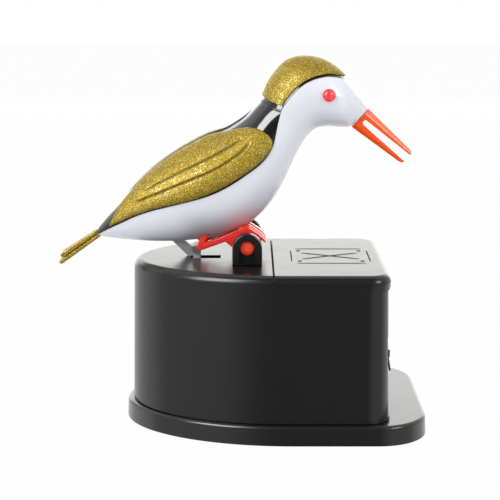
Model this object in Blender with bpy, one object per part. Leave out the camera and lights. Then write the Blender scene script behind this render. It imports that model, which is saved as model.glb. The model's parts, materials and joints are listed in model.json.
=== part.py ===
"""Toothpick dispenser: a bird on a perch tips over a box and takes one pick from its outlet.

X runs forwards, towards the outlet, Z runs up, and the origin lies on the table under the
middle of the whole object. Every length is in metres.
"""

import math

import bmesh
import bpy
from mathutils import Matrix, Vector

# Gaps that several pieces share
seat_gap = 0.0003
run_gap = 0.0003
pin_gap = 0.00015
overrun = 0.004

# Base plate
base_length = 0.11495
base_width = 0.085
base_height = 0.0074
base_rear_depth = 0.064
base_corner = 0.0193
base_front = 0.0703
base_wall = 0.0024
base_skin = 0.0022
base_edge_round = 0.0014
base_draft = 0.0003
base_rib = 0.0016
base_rib_depth = 0.0026
base_rib_pitch = 0.022
locating_rim_height = 0.0015
locating_rim_width = 0.0014

# Rubber feet
foot_radius = 0.005
foot_stand = 0.0006
foot_recess = 0.0014
foot_wall = 0.0014
foot_front_x = 0.05395
foot_rear_x = -0.02555
foot_edge_gap = 0.0105

# Box
ledge = 0.0025
box_length = 0.098
box_height = 0.0555
box_rear_depth = 0.0582
box_corner = 0.0088
box_wall = 0.002
deck_thickness = 0.002
top_round = 0.003
draft_share = 0.0175
boss_radius = 0.0034
boss_height = 0.016
boss_rear_x = -0.01255
boss_front_x = 0.04445

# Seam and refill lid
seam_x = 0.01195
seam_gap = 0.0004
lid_thickness = 0.003
lid_lip_drop = 0.0056
lid_lip_proud = 0.00045
lid_lip_wall = 0.0009
lid_tongue_reach = 0.0022
lid_tongue_root = 0.0015
lid_tongue_end_gap = 0.0026

# Hopper
hopper_rear = 0.01275
hopper_wall = 0.0014
hopper_front_wall = 0.001
hopper_floor_drop = 0.011
hopper_floor = 0.0016
throat_slack = 0.0008
hopper_foot_gap = 0.0016
hopper_leg_start = 0.01945
hopper_leg_length = 0.01

# Outlet
outlet_half_width = 0.0335
outlet_below = 0.008
outlet_above = 0.0052

# Feed shuttle
pick_diameter = 0.0021
shuttle_thickness = 0.0029
shuttle_pin_drop = 0.00124
shuttle_half_width = 0.0315
shuttle_apron = 0.0048
shuttle_front_land = 0.0053
groove_depth_share = 0.52
nose_half_width = 0.022
nose_drop = 0.0094
nose_head = 0.0014
nose_slant = 0.0015
nose_wall = 0.0007
notch_half_width = 0.0042
tongue_half_width = 0.007
yoke_rear = 0.005
yoke_front = 0.007
yoke_wall = 0.0015
yoke_low = 0.0028
yoke_high = 0.0021
guide_start = 0.02145
guide_length = 0.022
guide_web = 0.0015
guide_reach = 0.0035

# Perch, ears and axle
perch_x = 0.00255
perch_rise = 0.0065
axle_radius = 0.0027
axle_half_length = 0.0186
ear_width = 0.0112
ear_thickness = 0.0036
ear_outer_y = 0.0193
ear_round = 0.0005
ear_recess = 0.0022
ear_channel_half_width = 0.003
ear_sill = 0.0007
ear_peg_radius = 0.002
ear_peg_length = 0.0053

# Legs
leg_y = 0.009
leg_thickness = 0.0032
foot_hub_radius = 0.0048
foot_hub_width = 0.0074
toe_width = 0.0018
toe_spread = 0.0028
toe_reach = 0.0071
toe_root = 0.0042
thigh_rise = 0.0064
heel_back = 0.0195
thigh_lean = 0.0021
heel_drop = 0.0023
shank_width = 0.0031
thigh_width = 0.0028

# Belly arm, link and crank
arm_pin_back = 0.0195
arm_pin_drop = 0.0032
arm_thickness = 0.003
arm_y = 0.0003
arm_width = 0.0032
eye_radius = 0.0022
crank_rise = 0.016
link_thickness = 0.003
link_width = 0.0026
deck_slot_end_gap = 0.0008
deck_slot_side_gap = 0.00085
link_pin_radius = 0.0011
pin_head_radius = 0.0018
pin_head = 0.0007
crank_hub_radius = 0.004
crank_lever = 0.0102
shaft_radius = 0.002
shaft_half_length = 0.0128
drive_pin_radius = 0.0015
clip_radius = 0.0032
clip_thickness = 0.0008
tilt_degrees = 62.0

# Crank bracket
bracket_inner_y = 0.0093
bracket_wall = 0.0018
bracket_floor = 0.0018
bracket_back = 0.0061
bracket_top_gap = 0.0008
bracket_foot_y = 0.0165
bracket_tail = 0.0125
bracket_tail_height = 0.0065
bracket_screw_y = 0.0138

# Return spring
spring_radius = 0.0021
wire_radius = 0.00035
spring_turns = 5
spring_pitch = 0.0013
spring_y = 0.0062
spring_lever_share = 0.53
spring_post_radius = 0.001
spring_post_reach = 0.005
spring_anchor_rise = 0.0038

# Screws
screw_radius = 0.0013
screw_hole_radius = 0.0016
screw_pilot_radius = 0.0016
screw_head_radius = 0.0026
screw_head = 0.0015
screw_length = 0.011
short_screw_length = 0.0052
base_screw_depth = 0.003

# Bird
bird_length = 0.1032
bird_height = 0.07
bird_width = 0.036
tail_root_back = 0.05725
belly_drop = 0.0003
shell_wall = 0.0018
split_gap = 0.0003
border = 0.0007
wing_edge = 0.0006
wing_crown = 0.0014
feather_groove = 0.0003
crown_thickness = 0.0009
crown_edge = 0.0005

# Tail
tail_length = 0.019236
tail_upper_length = 0.0173
tail_slope_degrees = 33.4
tail_root_width = 0.005
tail_end_width = 0.0095
tail_layer = 0.0012
tail_layer_end = 0.0016
tail_layer_gap = 0.0003
tail_centre_rise = 0.0038
tail_socket = 0.0015
seat_share = 0.13

# Beak
beak_length = 0.0242
beak_drop_degrees = 42.5
beak_root_height = 0.0094
beak_root_width = 0.0074
beak_tip_width = 0.0026
beak_slit_start = 0.0018
beak_slit_root = 0.0019
beak_slit_mouth = 0.0032
beak_prong_tip = 0.0014
beak_lift = 0.001
beak_peg_radius = 0.0018
beak_peg_length = 0.0045

# Eyes
eye_ball_radius = 0.0024
eye_dome = 0.0013
eye_stem_radius = 0.0011
eye_stem_length = 0.003

# The loft of the bird: back point, belly point and width at each section. X runs as a share
# of the length from the tail root, Z as a share of the height above the belly.
bird_section_shares = [
    (-0.005, 0.075, -0.002, 0.030, 0.180),
    (0.024, 0.130, 0.032, 0.021, 0.333),
    (0.060, 0.189, 0.095, 0.011, 0.500),
    (0.122, 0.286, 0.192, 0.001, 0.694),
    (0.211, 0.404, 0.308, 0.003, 0.861),
    (0.308, 0.504, 0.424, 0.023, 0.972),
    (0.405, 0.581, 0.531, 0.070, 1.000),
    (0.483, 0.624, 0.619, 0.176, 0.944),
    (0.538, 0.676, 0.677, 0.299, 0.833),
    (0.574, 0.729, 0.719, 0.430, 0.736),
    (0.612, 0.793, 0.758, 0.543, 0.667),
    (0.645, 0.883, 0.800, 0.616, 0.681),
    (0.703, 0.976, 0.838, 0.633, 0.708),
    (0.773, 0.999, 0.867, 0.634, 0.722),
    (0.846, 0.974, 0.891, 0.631, 0.694),
    (0.908, 0.910, 0.910, 0.630, 0.611),
    (0.958, 0.821, 0.925, 0.630, 0.472),
    (1.000, 0.737, 0.935, 0.633, 0.264),
]

# The line in side view that parts the white shell from the black one, in the same shares.
split_line_shares = [
    (-0.060, 0.006),
    (0.000, 0.045),
    (0.044, 0.083),
    (0.087, 0.117),
    (0.147, 0.163),
    (0.207, 0.196),
    (0.267, 0.222),
    (0.325, 0.246),
    (0.385, 0.271),
    (0.443, 0.303),
    (0.500, 0.347),
    (0.557, 0.402),
    (0.592, 0.438),
    (0.618, 0.474),
    (0.638, 0.515),
    (0.651, 0.556),
    (0.658, 0.600),
    (0.664, 0.645),
    (0.671, 0.690),
    (0.681, 0.738),
    (0.701, 0.783),
    (0.726, 0.828),
    (0.756, 0.867),
    (0.789, 0.893),
    (0.824, 0.907),
    (0.854, 0.910),
    (0.889, 0.902),
    (0.919, 0.888),
    (0.960, 0.860),
]

# Places worked out from the sizes above
base_back = base_front - base_length
base_top_z = foot_stand + base_height
box_back = base_back + ledge
box_half_width = base_width / 2 - ledge
box_front = box_back + box_length
lid_z = base_top_z + box_height
box_top_inset = box_height * draft_share
top_half_width = box_half_width - box_top_inset
top_front = box_front - box_top_inset
deck_low_z = lid_z - deck_thickness
lid_low_z = lid_z - lid_thickness
wall_top_z = lid_low_z - seat_gap
hopper_half_width = top_half_width - box_wall - 2 * seat_gap
hopper_front = top_front - box_wall - seat_gap
throat_front = hopper_front - hopper_front_wall
throat = pick_diameter + throat_slack
throat_rear = throat_front - throat
groove_x = (throat_front + throat_rear) / 2
perch_z = lid_z + perch_rise
perch = Vector((perch_x, 0.0, perch_z))
arm_pin = perch + Vector((-arm_pin_back, 0.0, -arm_pin_drop))
crank_centre = Vector((perch_x, 0.0, base_top_z + crank_rise))
link_length = perch_z - crank_centre.z
link_foot = arm_pin - Vector((0.0, 0.0, link_length))
half_tilt = math.radians(tilt_degrees) / 2
drive_pin = crank_centre + Vector(
    (-crank_lever * math.sin(half_tilt), 0.0, crank_lever * math.cos(half_tilt))
)
groove_depth = pick_diameter * groove_depth_share
shuttle_travel = 2 * crank_lever * math.sin(half_tilt)
shuttle_low_z = drive_pin.z - shuttle_pin_drop
shuttle_high_z = shuttle_low_z + shuttle_thickness
outlet_low_z = shuttle_low_z - outlet_below
outlet_high_z = shuttle_high_z + outlet_above
hopper_bottom_z = shuttle_high_z + hopper_foot_gap
hopper_floor_lip_z = hopper_bottom_z + hopper_floor
hopper_floor_rear_z = lid_z - hopper_floor_drop
spring_anchor_z = base_top_z + spring_anchor_rise
spring_eye = crank_centre + (link_foot - crank_centre) * spring_lever_share
tail_root_x = perch_x - tail_root_back
belly_z = perch_z - belly_drop
bracket_low_z = base_top_z + seat_gap
arm_mid_y = arm_y + arm_thickness / 2
link_high_y = 0.0

for old in list(bpy.data.objects):
    bpy.data.objects.remove(old, do_unlink=True)


def material(name, colour, roughness, metallic=0.0):
    """One Principled material for each finish of the object."""
    made = bpy.data.materials.get(name) or bpy.data.materials.new(name)
    made.use_nodes = True
    shader = made.node_tree.nodes["Principled BSDF"]
    shader.inputs["Base Color"].default_value = (*colour, 1.0)
    shader.inputs["Roughness"].default_value = roughness
    shader.inputs["Metallic"].default_value = metallic
    return made


black_plastic = material("black_plastic", (0.012, 0.012, 0.012), 0.25)
gloss_black = material("gloss_black", (0.008, 0.008, 0.008), 0.08)
dark_plastic = material("dark_plastic", (0.05, 0.05, 0.055), 0.5)
white_plastic = material("white_plastic", (0.80, 0.80, 0.86), 0.3)
grey_plastic = material("grey_plastic", (0.55, 0.55, 0.56), 0.35)
gold_glitter = material("gold_glitter", (0.42, 0.32, 0.04), 0.35, 0.7)
red_plastic = material("red_plastic", (0.80, 0.03, 0.02), 0.2)
orange_plastic = material("orange_plastic", (0.95, 0.16, 0.02), 0.2)
steel = material("steel", (0.6, 0.6, 0.6), 0.3, 1.0)
rubber = material("rubber", (0.03, 0.03, 0.03), 0.8)


def finish(name, mesh_data, finish_material, helper=False):
    """Makes an object of a bmesh, with its faces out and its round faces smooth."""
    bmesh.ops.recalc_face_normals(mesh_data, faces=mesh_data.faces)
    mesh = bpy.data.meshes.new(name)
    mesh_data.to_mesh(mesh)
    mesh_data.free()
    mesh.shade_smooth()
    mesh.set_sharp_from_angle(angle=math.radians(35))
    made = bpy.data.objects.new(name, mesh)
    bpy.context.scene.collection.objects.link(made)
    if helper:
        made.hide_render = True
        made.display_type = "WIRE"
    else:
        mesh.materials.append(finish_material)
    return made


def stack(name, rings, finish_material=None, ends=True):
    """A solid through rings of points, each with as many points as the next."""
    mesh_data = bmesh.new()
    rows = [[mesh_data.verts.new(point) for point in ring] for ring in rings]
    count = len(rings[0])
    for low, high in zip(rows, rows[1:]):
        for i in range(count):
            j = (i + 1) % count
            mesh_data.faces.new((low[i], low[j], high[j], high[i]))
    if ends:
        mesh_data.faces.new(list(reversed(rows[0])))
        mesh_data.faces.new(rows[-1])
    return finish(name, mesh_data, finish_material, finish_material is None)


def prism_y(name, outline, low, high, finish_material=None):
    """An outline in X and Z, drawn from one Y to another."""
    rings = [[Vector((x, y, z)) for x, z in outline] for y in (low, high)]
    return stack(name, rings, finish_material)


def prism_z(name, outline, low, high, finish_material=None):
    """An outline in X and Y, drawn from one Z to another."""
    rings = [[Vector((x, y, z)) for x, y in outline] for z in (low, high)]
    return stack(name, rings, finish_material)


def block(name, low, high, finish_material=None):
    """A box between two corners."""
    outline = [(low[0], low[2]), (high[0], low[2]), (high[0], high[2]), (low[0], high[2])]
    return prism_y(name, outline, low[1], high[1], finish_material)


def lathe(name, foot, direction, profile, finish_material=None, sides=16):
    """A turned solid: pairs of radius and height along a direction from a foot point."""
    turn = Vector(direction).to_track_quat("Z", "Y").to_matrix()
    rings = []
    for radius, height in profile:
        ring = []
        for i in range(sides):
            angle = 2 * math.pi * i / sides
            local = Vector((radius * math.cos(angle), radius * math.sin(angle), height))
            ring.append(Vector(foot) + turn @ local)
        rings.append(ring)
    return stack(name, rings, finish_material)


def rod(name, foot, direction, radius, length, finish_material=None, sides=16):
    """A plain round bar."""
    return lathe(name, foot, direction, [(radius, 0.0), (radius, length)], finish_material, sides)


def boolean(target, other, operation):
    """One live Boolean between two objects."""
    step = target.modifiers.new(operation.lower() + "_" + other.name, "BOOLEAN")
    step.operation = operation
    step.object = other
    other.hide_render = True
    other.display_type = "WIRE"
    return target


def cut(target, *cutters):
    for cutter in cutters:
        boolean(target, cutter, "DIFFERENCE")
    return target


def join(target, *others):
    for other in others:
        boolean(target, other, "UNION")
    return target


def keep(target, *others):
    for other in others:
        boolean(target, other, "INTERSECT")
    return target


def arc(centre_x, centre_z, radius, start, end, steps):
    """Points of an arc, with angles in degrees from +X towards the second axis."""
    points = []
    for i in range(steps + 1):
        angle = math.radians(start + (end - start) * i / steps)
        points.append((centre_x + radius * math.cos(angle), centre_z + radius * math.sin(angle)))
    return points


def d_outline(back, front, half_width, rear_depth, corner, inset=0.0):
    """Plan of the box and base: half an ellipse behind, straight sides, round front corners."""
    back, front, half_width = back + inset, front - inset, half_width - inset
    rear_depth, corner = rear_depth - inset, corner - inset
    rear_x = back + rear_depth
    points = arc(front - corner, corner - half_width, corner, -90, 0, 6)
    points += arc(front - corner, half_width - corner, corner, 0, 90, 6)
    for i in range(23):
        angle = math.radians(90 + 180 * i / 22)
        points.append((rear_x + rear_depth * math.cos(angle), half_width * math.sin(angle)))
    return points


def base_outline(inset=0.0):
    return d_outline(base_back, base_front, base_width / 2, base_rear_depth, base_corner, inset)


def box_outline(inset=0.0, front_proud=0.0):
    front = box_front + front_proud
    return d_outline(box_back, front, box_half_width, box_rear_depth, box_corner, inset)


def at_height(outline, z):
    return [Vector((x, y, z)) for x, y in outline]


def round_front_outline(back, front, half_width, corner):
    """A rectangle with round front corners, in X and Y."""
    points = [(back, half_width), (back, -half_width)]
    points += arc(front - corner, corner - half_width, corner, -90, 0, 6)
    points += arc(front - corner, half_width - corner, corner, 0, 90, 6)
    return points


def capsule(start, end, radius, steps=6):
    """Outline in X and Z of a bar with round ends between two points."""
    heading = math.degrees(math.atan2(end.z - start.z, end.x - start.x))
    points = arc(end.x, end.z, radius, heading - 90, heading + 90, steps)
    points += arc(start.x, start.z, radius, heading + 90, heading + 270, steps)
    return points


def screw(name, head_point, direction, length, head_radius=screw_head_radius):
    """A pan-head screw, from its head's underside along its shank."""
    profile = [
        (head_radius * 0.55, -screw_head),
        (head_radius * 0.9, -screw_head * 0.7),
        (head_radius, -screw_head * 0.25),
        (head_radius, 0.0),
        (screw_radius, 0.0),
        (screw_radius, length - screw_radius),
        (screw_radius / 4, length),
    ]
    return lathe(name, head_point, direction, profile, steel, 10)


def edge_y(x, back, half_width, rear_depth, front=1.0, corner=0.0):
    """Half the width of the plan of the base or box at one X."""
    if x < back + rear_depth:
        return half_width * math.sqrt(1 - ((back + rear_depth - x) / rear_depth) ** 2)
    if x > front - corner:
        return half_width - corner + math.sqrt(corner**2 - (x - front + corner) ** 2)
    return half_width


def box_edge_y(x):
    return edge_y(x, box_back, box_half_width, box_rear_depth)


# The places that carry the base, mirrored across the middle
boss_places = []
for x_place in (boss_rear_x, boss_front_x):
    for side in (-1, 1):
        boss_places.append((x_place, side * (box_edge_y(x_place) - box_wall - boss_radius)))
foot_places = []
for x_place in (foot_rear_x, foot_front_x):
    spread = edge_y(
        x_place, base_back, base_width / 2, base_rear_depth, base_front, base_corner
    )
    for side in (-1, 1):
        foot_places.append((x_place, side * (spread - foot_edge_gap)))
bracket_screw_places = [(perch_x, -bracket_screw_y), (perch_x, bracket_screw_y)]


def make_base():
    """The tray-shaped base: a skin inside a rim, with ribs, bosses and foot cups below."""
    rings = [at_height(base_outline(), foot_stand)]
    rings.append(at_height(base_outline(base_draft), base_top_z - base_edge_round))
    for degrees in (35, 90):
        angle = math.radians(degrees)
        inset = base_draft + base_edge_round * (1 - math.cos(angle))
        height = base_top_z - base_edge_round * (1 - math.sin(angle))
        rings.append(at_height(base_outline(inset), height))
    base = stack("base_plate", rings, black_plastic)
    skin_z = base_top_z - base_skin
    hollow = prism_z("base_hollow", base_outline(base_wall), foot_stand - overrun, skin_z)
    cut(base, hollow)
    rib_low = skin_z - base_rib_depth
    wide = base_width / 2 - base_wall / 2
    long_rib = block(
        "base_long_rib",
        (base_back + base_wall / 2, -base_rib / 2, rib_low),
        (base_front - base_wall / 2, base_rib / 2, skin_z + base_skin / 2),
    )
    join(base, long_rib)
    for i in range(3):
        x = base_front - base_corner - i * base_rib_pitch
        rib = block(
            f"base_cross_rib_{i + 1}",
            (x - base_rib / 2, -wide, rib_low),
            (x + base_rib / 2, wide, skin_z + base_skin / 2),
        )
        join(base, rib)
    rim_inset = ledge + box_wall + seat_gap
    rim_high = base_top_z + locating_rim_height
    rim = prism_z("locating_rim", base_outline(rim_inset + seat_gap), skin_z, rim_high)
    rim_inner = prism_z(
        "locating_rim_inside",
        base_outline(rim_inset + seat_gap + locating_rim_width),
        base_top_z,
        rim_high + overrun,
    )
    rim_front = block(
        "locating_rim_front",
        (seam_x, -base_width, base_top_z),
        (base_front, base_width, rim_high + overrun),
    )
    join(base, rim)
    cut(base, rim_inner, rim_front)
    for i, (x, y) in enumerate(foot_places):
        cup = rod(
            f"foot_cup_{i + 1}",
            (x, y, foot_stand),
            (0, 0, 1),
            foot_radius + foot_wall,
            skin_z + base_skin / 2 - foot_stand,
        )
        join(base, cup)
        recess = rod(
            f"foot_cup_recess_{i + 1}",
            (x, y, foot_stand - overrun),
            (0, 0, 1),
            foot_radius + seat_gap,
            overrun + foot_recess,
        )
        cut(base, recess)
    for i, (x, y) in enumerate(boss_places):
        boss = rod(
            f"base_boss_{i + 1}",
            (x, y, foot_stand + seat_gap),
            (0, 0, 1),
            screw_head_radius + foot_wall,
            skin_z - foot_stand,
        )
        join(base, boss)
        counterbore = rod(
            f"base_counterbore_{i + 1}",
            (x, y, foot_stand - overrun),
            (0, 0, 1),
            screw_head_radius + run_gap,
            overrun + base_screw_depth,
        )
        shank_hole = rod(
            f"base_screw_hole_{i + 1}",
            (x, y, foot_stand),
            (0, 0, 1),
            screw_hole_radius,
            base_height + overrun,
        )
        cut(base, counterbore, shank_hole)
    for i, (x, y) in enumerate(bracket_screw_places):
        boss = rod(
            f"bracket_boss_{i + 1}",
            (x, y, base_top_z - short_screw_length),
            (0, 0, 1),
            boss_radius,
            short_screw_length - base_skin / 2,
        )
        pilot = rod(
            f"bracket_pilot_{i + 1}",
            (x, y, base_top_z - short_screw_length + base_skin / 2),
            (0, 0, 1),
            screw_pilot_radius,
            short_screw_length + overrun,
        )
        join(base, boss)
        cut(base, pilot)
    return base


def make_feet():
    """Four rubber pads in the cups of the base."""
    for i, (x, y) in enumerate(foot_places):
        height = foot_stand + foot_recess - seat_gap
        edge = foot_stand / 2
        profile = [(foot_radius - edge, 0.0), (foot_radius, edge), (foot_radius, height)]
        lathe(f"rubber_foot_{i + 1}", (x, y, 0.0), (0, 0, 1), profile, rubber, 16)


def box_rings(front_proud=0.0, low_z=base_top_z + seat_gap):
    """Outside of the box from low_z up over the rounded top edge."""
    round_z = lid_z - top_round
    low_inset = (low_z - base_top_z) * draft_share
    round_inset = (round_z - base_top_z) * draft_share
    rings = [at_height(box_outline(low_inset, front_proud), low_z)]
    rings.append(at_height(box_outline(round_inset, front_proud), round_z))
    for degrees in (22, 45, 67, 90):
        angle = math.radians(degrees)
        inset = round_inset + top_round * (1 - math.cos(angle))
        height = round_z + top_round * math.sin(angle)
        rings.append(at_height(box_outline(inset, front_proud), height))
    return rings


def make_box():
    """The box: drafted walls and a deck, open below and in front of the seam."""
    box = stack("box_shell", box_rings(), black_plastic)
    low_z = base_top_z - overrun
    round_z = lid_z - top_round
    inner_top = (round_z - base_top_z) * draft_share + box_wall
    inner = [
        at_height(box_outline(box_wall), low_z),
        at_height(box_outline(inner_top), round_z),
        at_height(box_outline(inner_top + (top_round - deck_thickness)), deck_low_z),
    ]
    cut(box, stack("box_hollow", inner))
    for i, (x, y) in enumerate(boss_places):
        low = base_top_z + 2 * seat_gap + locating_rim_height
        side = 1 if y > 0 else -1
        boss = rod(f"box_boss_{i + 1}", (x, y, low), (0, 0, 1), boss_radius, boss_height)
        web_end = box_edge_y(x - base_rib / 2) - box_wall / 2
        web_ys = sorted((y, side * web_end))
        web = block(
            f"box_boss_web_{i + 1}",
            (x - base_rib / 2, web_ys[0], low),
            (x + base_rib / 2, web_ys[1], low + boss_height - boss_radius),
        )
        pilot = rod(
            f"box_pilot_{i + 1}",
            (x, y, low - overrun),
            (0, 0, 1),
            screw_pilot_radius,
            screw_length + overrun,
        )
        join(box, boss, web)
        cut(box, pilot)
    opening = block(
        "lid_opening",
        (seam_x, -base_width, wall_top_z),
        (base_front, base_width, lid_z + overrun),
    )
    cut(box, opening)
    rebate = stack(
        "lip_rebate",
        [
            at_height(box_outline(-overrun), lid_z - lid_lip_drop - run_gap),
            at_height(box_outline(-overrun), lid_z + overrun),
        ],
    )
    rebate_core = stack(
        "lip_rebate_core",
        [
            at_height(
                box_outline(box_top_inset, -lid_lip_wall / 2 - run_gap),
                lid_z - lid_lip_drop - overrun,
            ),
            at_height(
                box_outline(box_top_inset, -lid_lip_wall / 2 - run_gap),
                lid_z + 2 * overrun,
            ),
        ],
    )
    cut(rebate, rebate_core)
    rebate_zone = block(
        "lip_rebate_zone",
        (top_front - box_corner / 2, box_corner - top_half_width - run_gap, base_top_z),
        (base_front + overrun, base_width, lid_z + overrun),
    )
    keep(rebate, rebate_zone)
    cut(box, rebate)
    tongue_way = block(
        "tongue_way",
        (seam_x - lid_tongue_reach - run_gap, hopper_half_width - lid_tongue_end_gap / 2, wall_top_z),
        (seam_x + overrun, base_width, deck_low_z),
    )
    cut(box, tongue_way)
    outlet = block(
        "outlet_window",
        (top_front - box_wall - overrun / 2, -outlet_half_width, outlet_low_z),
        (base_front, outlet_half_width, outlet_high_z),
    )
    cut(box, outlet)
    low_x = perch_x - math.hypot(arm_pin_back, arm_pin_drop) - link_width / 2
    last = math.atan2(arm_pin_drop, arm_pin_back) - math.radians(tilt_degrees)
    high_x = perch_x - math.hypot(arm_pin_back, arm_pin_drop) * math.cos(last) + link_width / 2
    slot = block(
        "deck_slot",
        (low_x - deck_slot_end_gap, -link_thickness - deck_slot_side_gap, deck_low_z - overrun),
        (high_x + deck_slot_end_gap / 2, link_high_y + deck_slot_side_gap, lid_z + overrun),
    )
    cut(box, slot)
    for side, label in ((-1, "near"), (1, "far")):
        hole = rod(
            f"ear_peg_hole_{label}",
            (perch_x, side * (ear_outer_y - ear_thickness / 2 - ear_round), deck_low_z - overrun),
            (0, 0, 1),
            ear_peg_radius + seat_gap,
            deck_thickness + 2 * overrun,
        )
        cut(box, hole)
    return box


def make_lid():
    """The refill lid: a plate with the box's top edge, a guide lip in front and a tongue behind."""
    lid = stack("refill_lid", box_rings(lid_lip_proud, lid_low_z - overrun), black_plastic)
    zone = block(
        "lid_zone",
        (seam_x + seam_gap, -base_width, lid_low_z),
        (base_front, base_width, lid_z + overrun),
    )
    keep(lid, zone)
    inset = box_top_inset
    lip = stack(
        "lid_lip",
        [
            at_height(box_outline(inset, lid_lip_proud), lid_z - lid_lip_drop),
            at_height(box_outline(inset, lid_lip_proud), lid_low_z + lid_thickness / 4),
        ],
    )
    lip_inside = stack(
        "lid_lip_inside",
        [
            at_height(box_outline(inset, lid_lip_proud - lid_lip_wall), base_top_z),
            at_height(box_outline(inset, lid_lip_proud - lid_lip_wall), lid_z + overrun),
        ],
    )
    lip_half = top_half_width - box_corner
    lip_zone = block(
        "lid_lip_zone",
        (top_front - box_corner / 2 + 2 * run_gap, -lip_half, base_top_z),
        (base_front, lip_half, lid_z + overrun),
    )
    cut(lip, lip_inside)
    keep(lip, lip_zone)
    join(lid, lip)
    tongue_half = hopper_half_width - lid_tongue_end_gap
    tongue = block(
        "lid_tongue",
        (seam_x - lid_tongue_reach, -tongue_half, lid_low_z),
        (seam_x + lid_tongue_root, tongue_half, deck_low_z - seat_gap),
    )
    join(lid, tongue)
    return lid


def make_hopper():
    """The bin for the picks: a sloping floor, a throat one pick wide and the shuttle's guide."""
    inner_corner = box_corner - box_top_inset - box_wall - seat_gap
    outline = round_front_outline(hopper_rear, hopper_front, hopper_half_width, inner_corner)
    top_z = wall_top_z - seat_gap
    hopper = prism_z("hopper_chute", outline, hopper_bottom_z, top_z, dark_plastic)
    inside_half = hopper_half_width - hopper_wall
    inner_rear = hopper_rear + hopper_wall
    cavity_outline = [
        (inner_rear, hopper_floor_rear_z),
        (throat_rear, hopper_floor_lip_z),
        (throat_rear, hopper_bottom_z - overrun),
        (throat_front, hopper_bottom_z - overrun),
        (throat_front, top_z + overrun),
        (inner_rear, top_z + overrun),
    ]
    cavity = prism_y("hopper_cavity", cavity_outline, -hopper_half_width, hopper_half_width)
    cavity_plan = round_front_outline(
        hopper_rear - overrun, throat_front, inside_half, inner_corner - hopper_front_wall
    )
    keep(cavity, prism_z("hopper_cavity_plan", cavity_plan, base_top_z, lid_z + overrun))
    below_outline = [
        (hopper_rear - overrun, hopper_bottom_z - overrun),
        (throat_rear - hopper_floor, hopper_bottom_z - overrun),
        (throat_rear - hopper_floor, hopper_floor_lip_z - hopper_floor),
        (inner_rear, hopper_floor_rear_z - hopper_floor),
        (hopper_rear - overrun, hopper_floor_rear_z - hopper_floor),
    ]
    below = prism_y("hopper_underside", below_outline, -inside_half, inside_half)
    cut(hopper, cavity, below)
    slope = (hopper_floor_lip_z - hopper_floor_rear_z) / (throat_rear - inner_rear)
    guide_end = guide_start + guide_length
    mid_floor = hopper_floor_rear_z - hopper_floor / 2
    web_high = [mid_floor + slope * (x - inner_rear) for x in (guide_start, guide_end)]
    flange_low = shuttle_low_z - run_gap - guide_web
    for side, label in ((-1, "near"), (1, "far")):
        web_y = tongue_half_width + run_gap
        web_outline = [
            (guide_start, flange_low),
            (guide_end, flange_low),
            (guide_end, web_high[1]),
            (guide_start, web_high[0]),
        ]
        ys = sorted((side * web_y, side * (web_y + guide_web)))
        join(hopper, prism_y(f"guide_web_{label}", web_outline, *ys))
        ys = sorted((side * (web_y + guide_web / 2), side * (web_y - guide_reach)))
        flange = block(
            f"guide_flange_{label}",
            (guide_start, ys[0], flange_low),
            (guide_end, ys[1], flange_low + guide_web),
        )
        join(hopper, flange)
        ys = sorted((side * hopper_half_width, side * inside_half))
        leg = block(
            f"hopper_leg_{label}",
            (hopper_leg_start, ys[0], base_top_z + seat_gap),
            (hopper_leg_start + hopper_leg_length, ys[1], hopper_bottom_z + hopper_floor),
        )
        join(hopper, leg)
    return hopper


def make_shuttle():
    """The slide that carries one pick: a grooved apron with a slanted nose, and a tongue."""
    front = groove_x + shuttle_front_land
    rear = groove_x - shuttle_apron
    shuttle = block(
        "feed_shuttle",
        (rear, -shuttle_half_width, shuttle_low_z),
        (front, shuttle_half_width, shuttle_high_z),
        gloss_black,
    )
    nose_high = shuttle_high_z - nose_head
    nose_outline = [
        (front - 2 * nose_wall, nose_high),
        (front, nose_high),
        (front + nose_slant, nose_high - nose_drop),
        (front + nose_slant - nose_wall, nose_high - nose_drop),
        (front - nose_wall, shuttle_low_z),
        (front - 2 * nose_wall, shuttle_low_z),
    ]
    nose = prism_y("shuttle_nose", nose_outline, -nose_half_width, nose_half_width)
    tongue_rear = drive_pin.x
    tongue = block(
        "shuttle_tongue",
        (tongue_rear, -tongue_half_width, shuttle_low_z),
        (rear + overrun, tongue_half_width, shuttle_high_z),
    )
    arm_side = arm_y - run_gap - pin_gap
    arm_far = arm_y + arm_thickness + run_gap + pin_gap
    yoke_half = (arm_far - arm_side) / 2 + arm_thickness + run_gap
    yoke = block(
        "shuttle_yoke",
        (drive_pin.x - yoke_rear, arm_mid_y - yoke_half, shuttle_low_z - yoke_low),
        (drive_pin.x + yoke_front, arm_mid_y + yoke_half, shuttle_high_z + yoke_high),
    )
    join(shuttle, nose, tongue, yoke)
    groove_outline = [
        (groove_x, shuttle_high_z - groove_depth),
        (groove_x + groove_depth + overrun, shuttle_high_z + overrun),
        (groove_x - groove_depth - overrun, shuttle_high_z + overrun),
    ]
    groove = prism_y("pick_groove", groove_outline, -base_width, base_width)
    notch = block(
        "beak_notch",
        (groove_x - shuttle_apron + 2 * run_gap, -notch_half_width, base_top_z),
        (base_front, notch_half_width, lid_z),
    )
    slot_half = drive_pin_radius + run_gap + pin_gap
    pin_slot = block(
        "drive_pin_slot",
        (drive_pin.x - slot_half, -base_width, drive_pin.z - slot_half - run_gap),
        (drive_pin.x + slot_half, base_width, lid_z),
    )
    arm_slot = block(
        "crank_arm_slot",
        (drive_pin.x - 2 * yoke_rear, arm_side, base_top_z),
        (drive_pin.x + yoke_front - yoke_wall, arm_far, lid_z),
    )
    cut(shuttle, groove, notch, pin_slot, arm_slot)
    return shuttle


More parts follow.
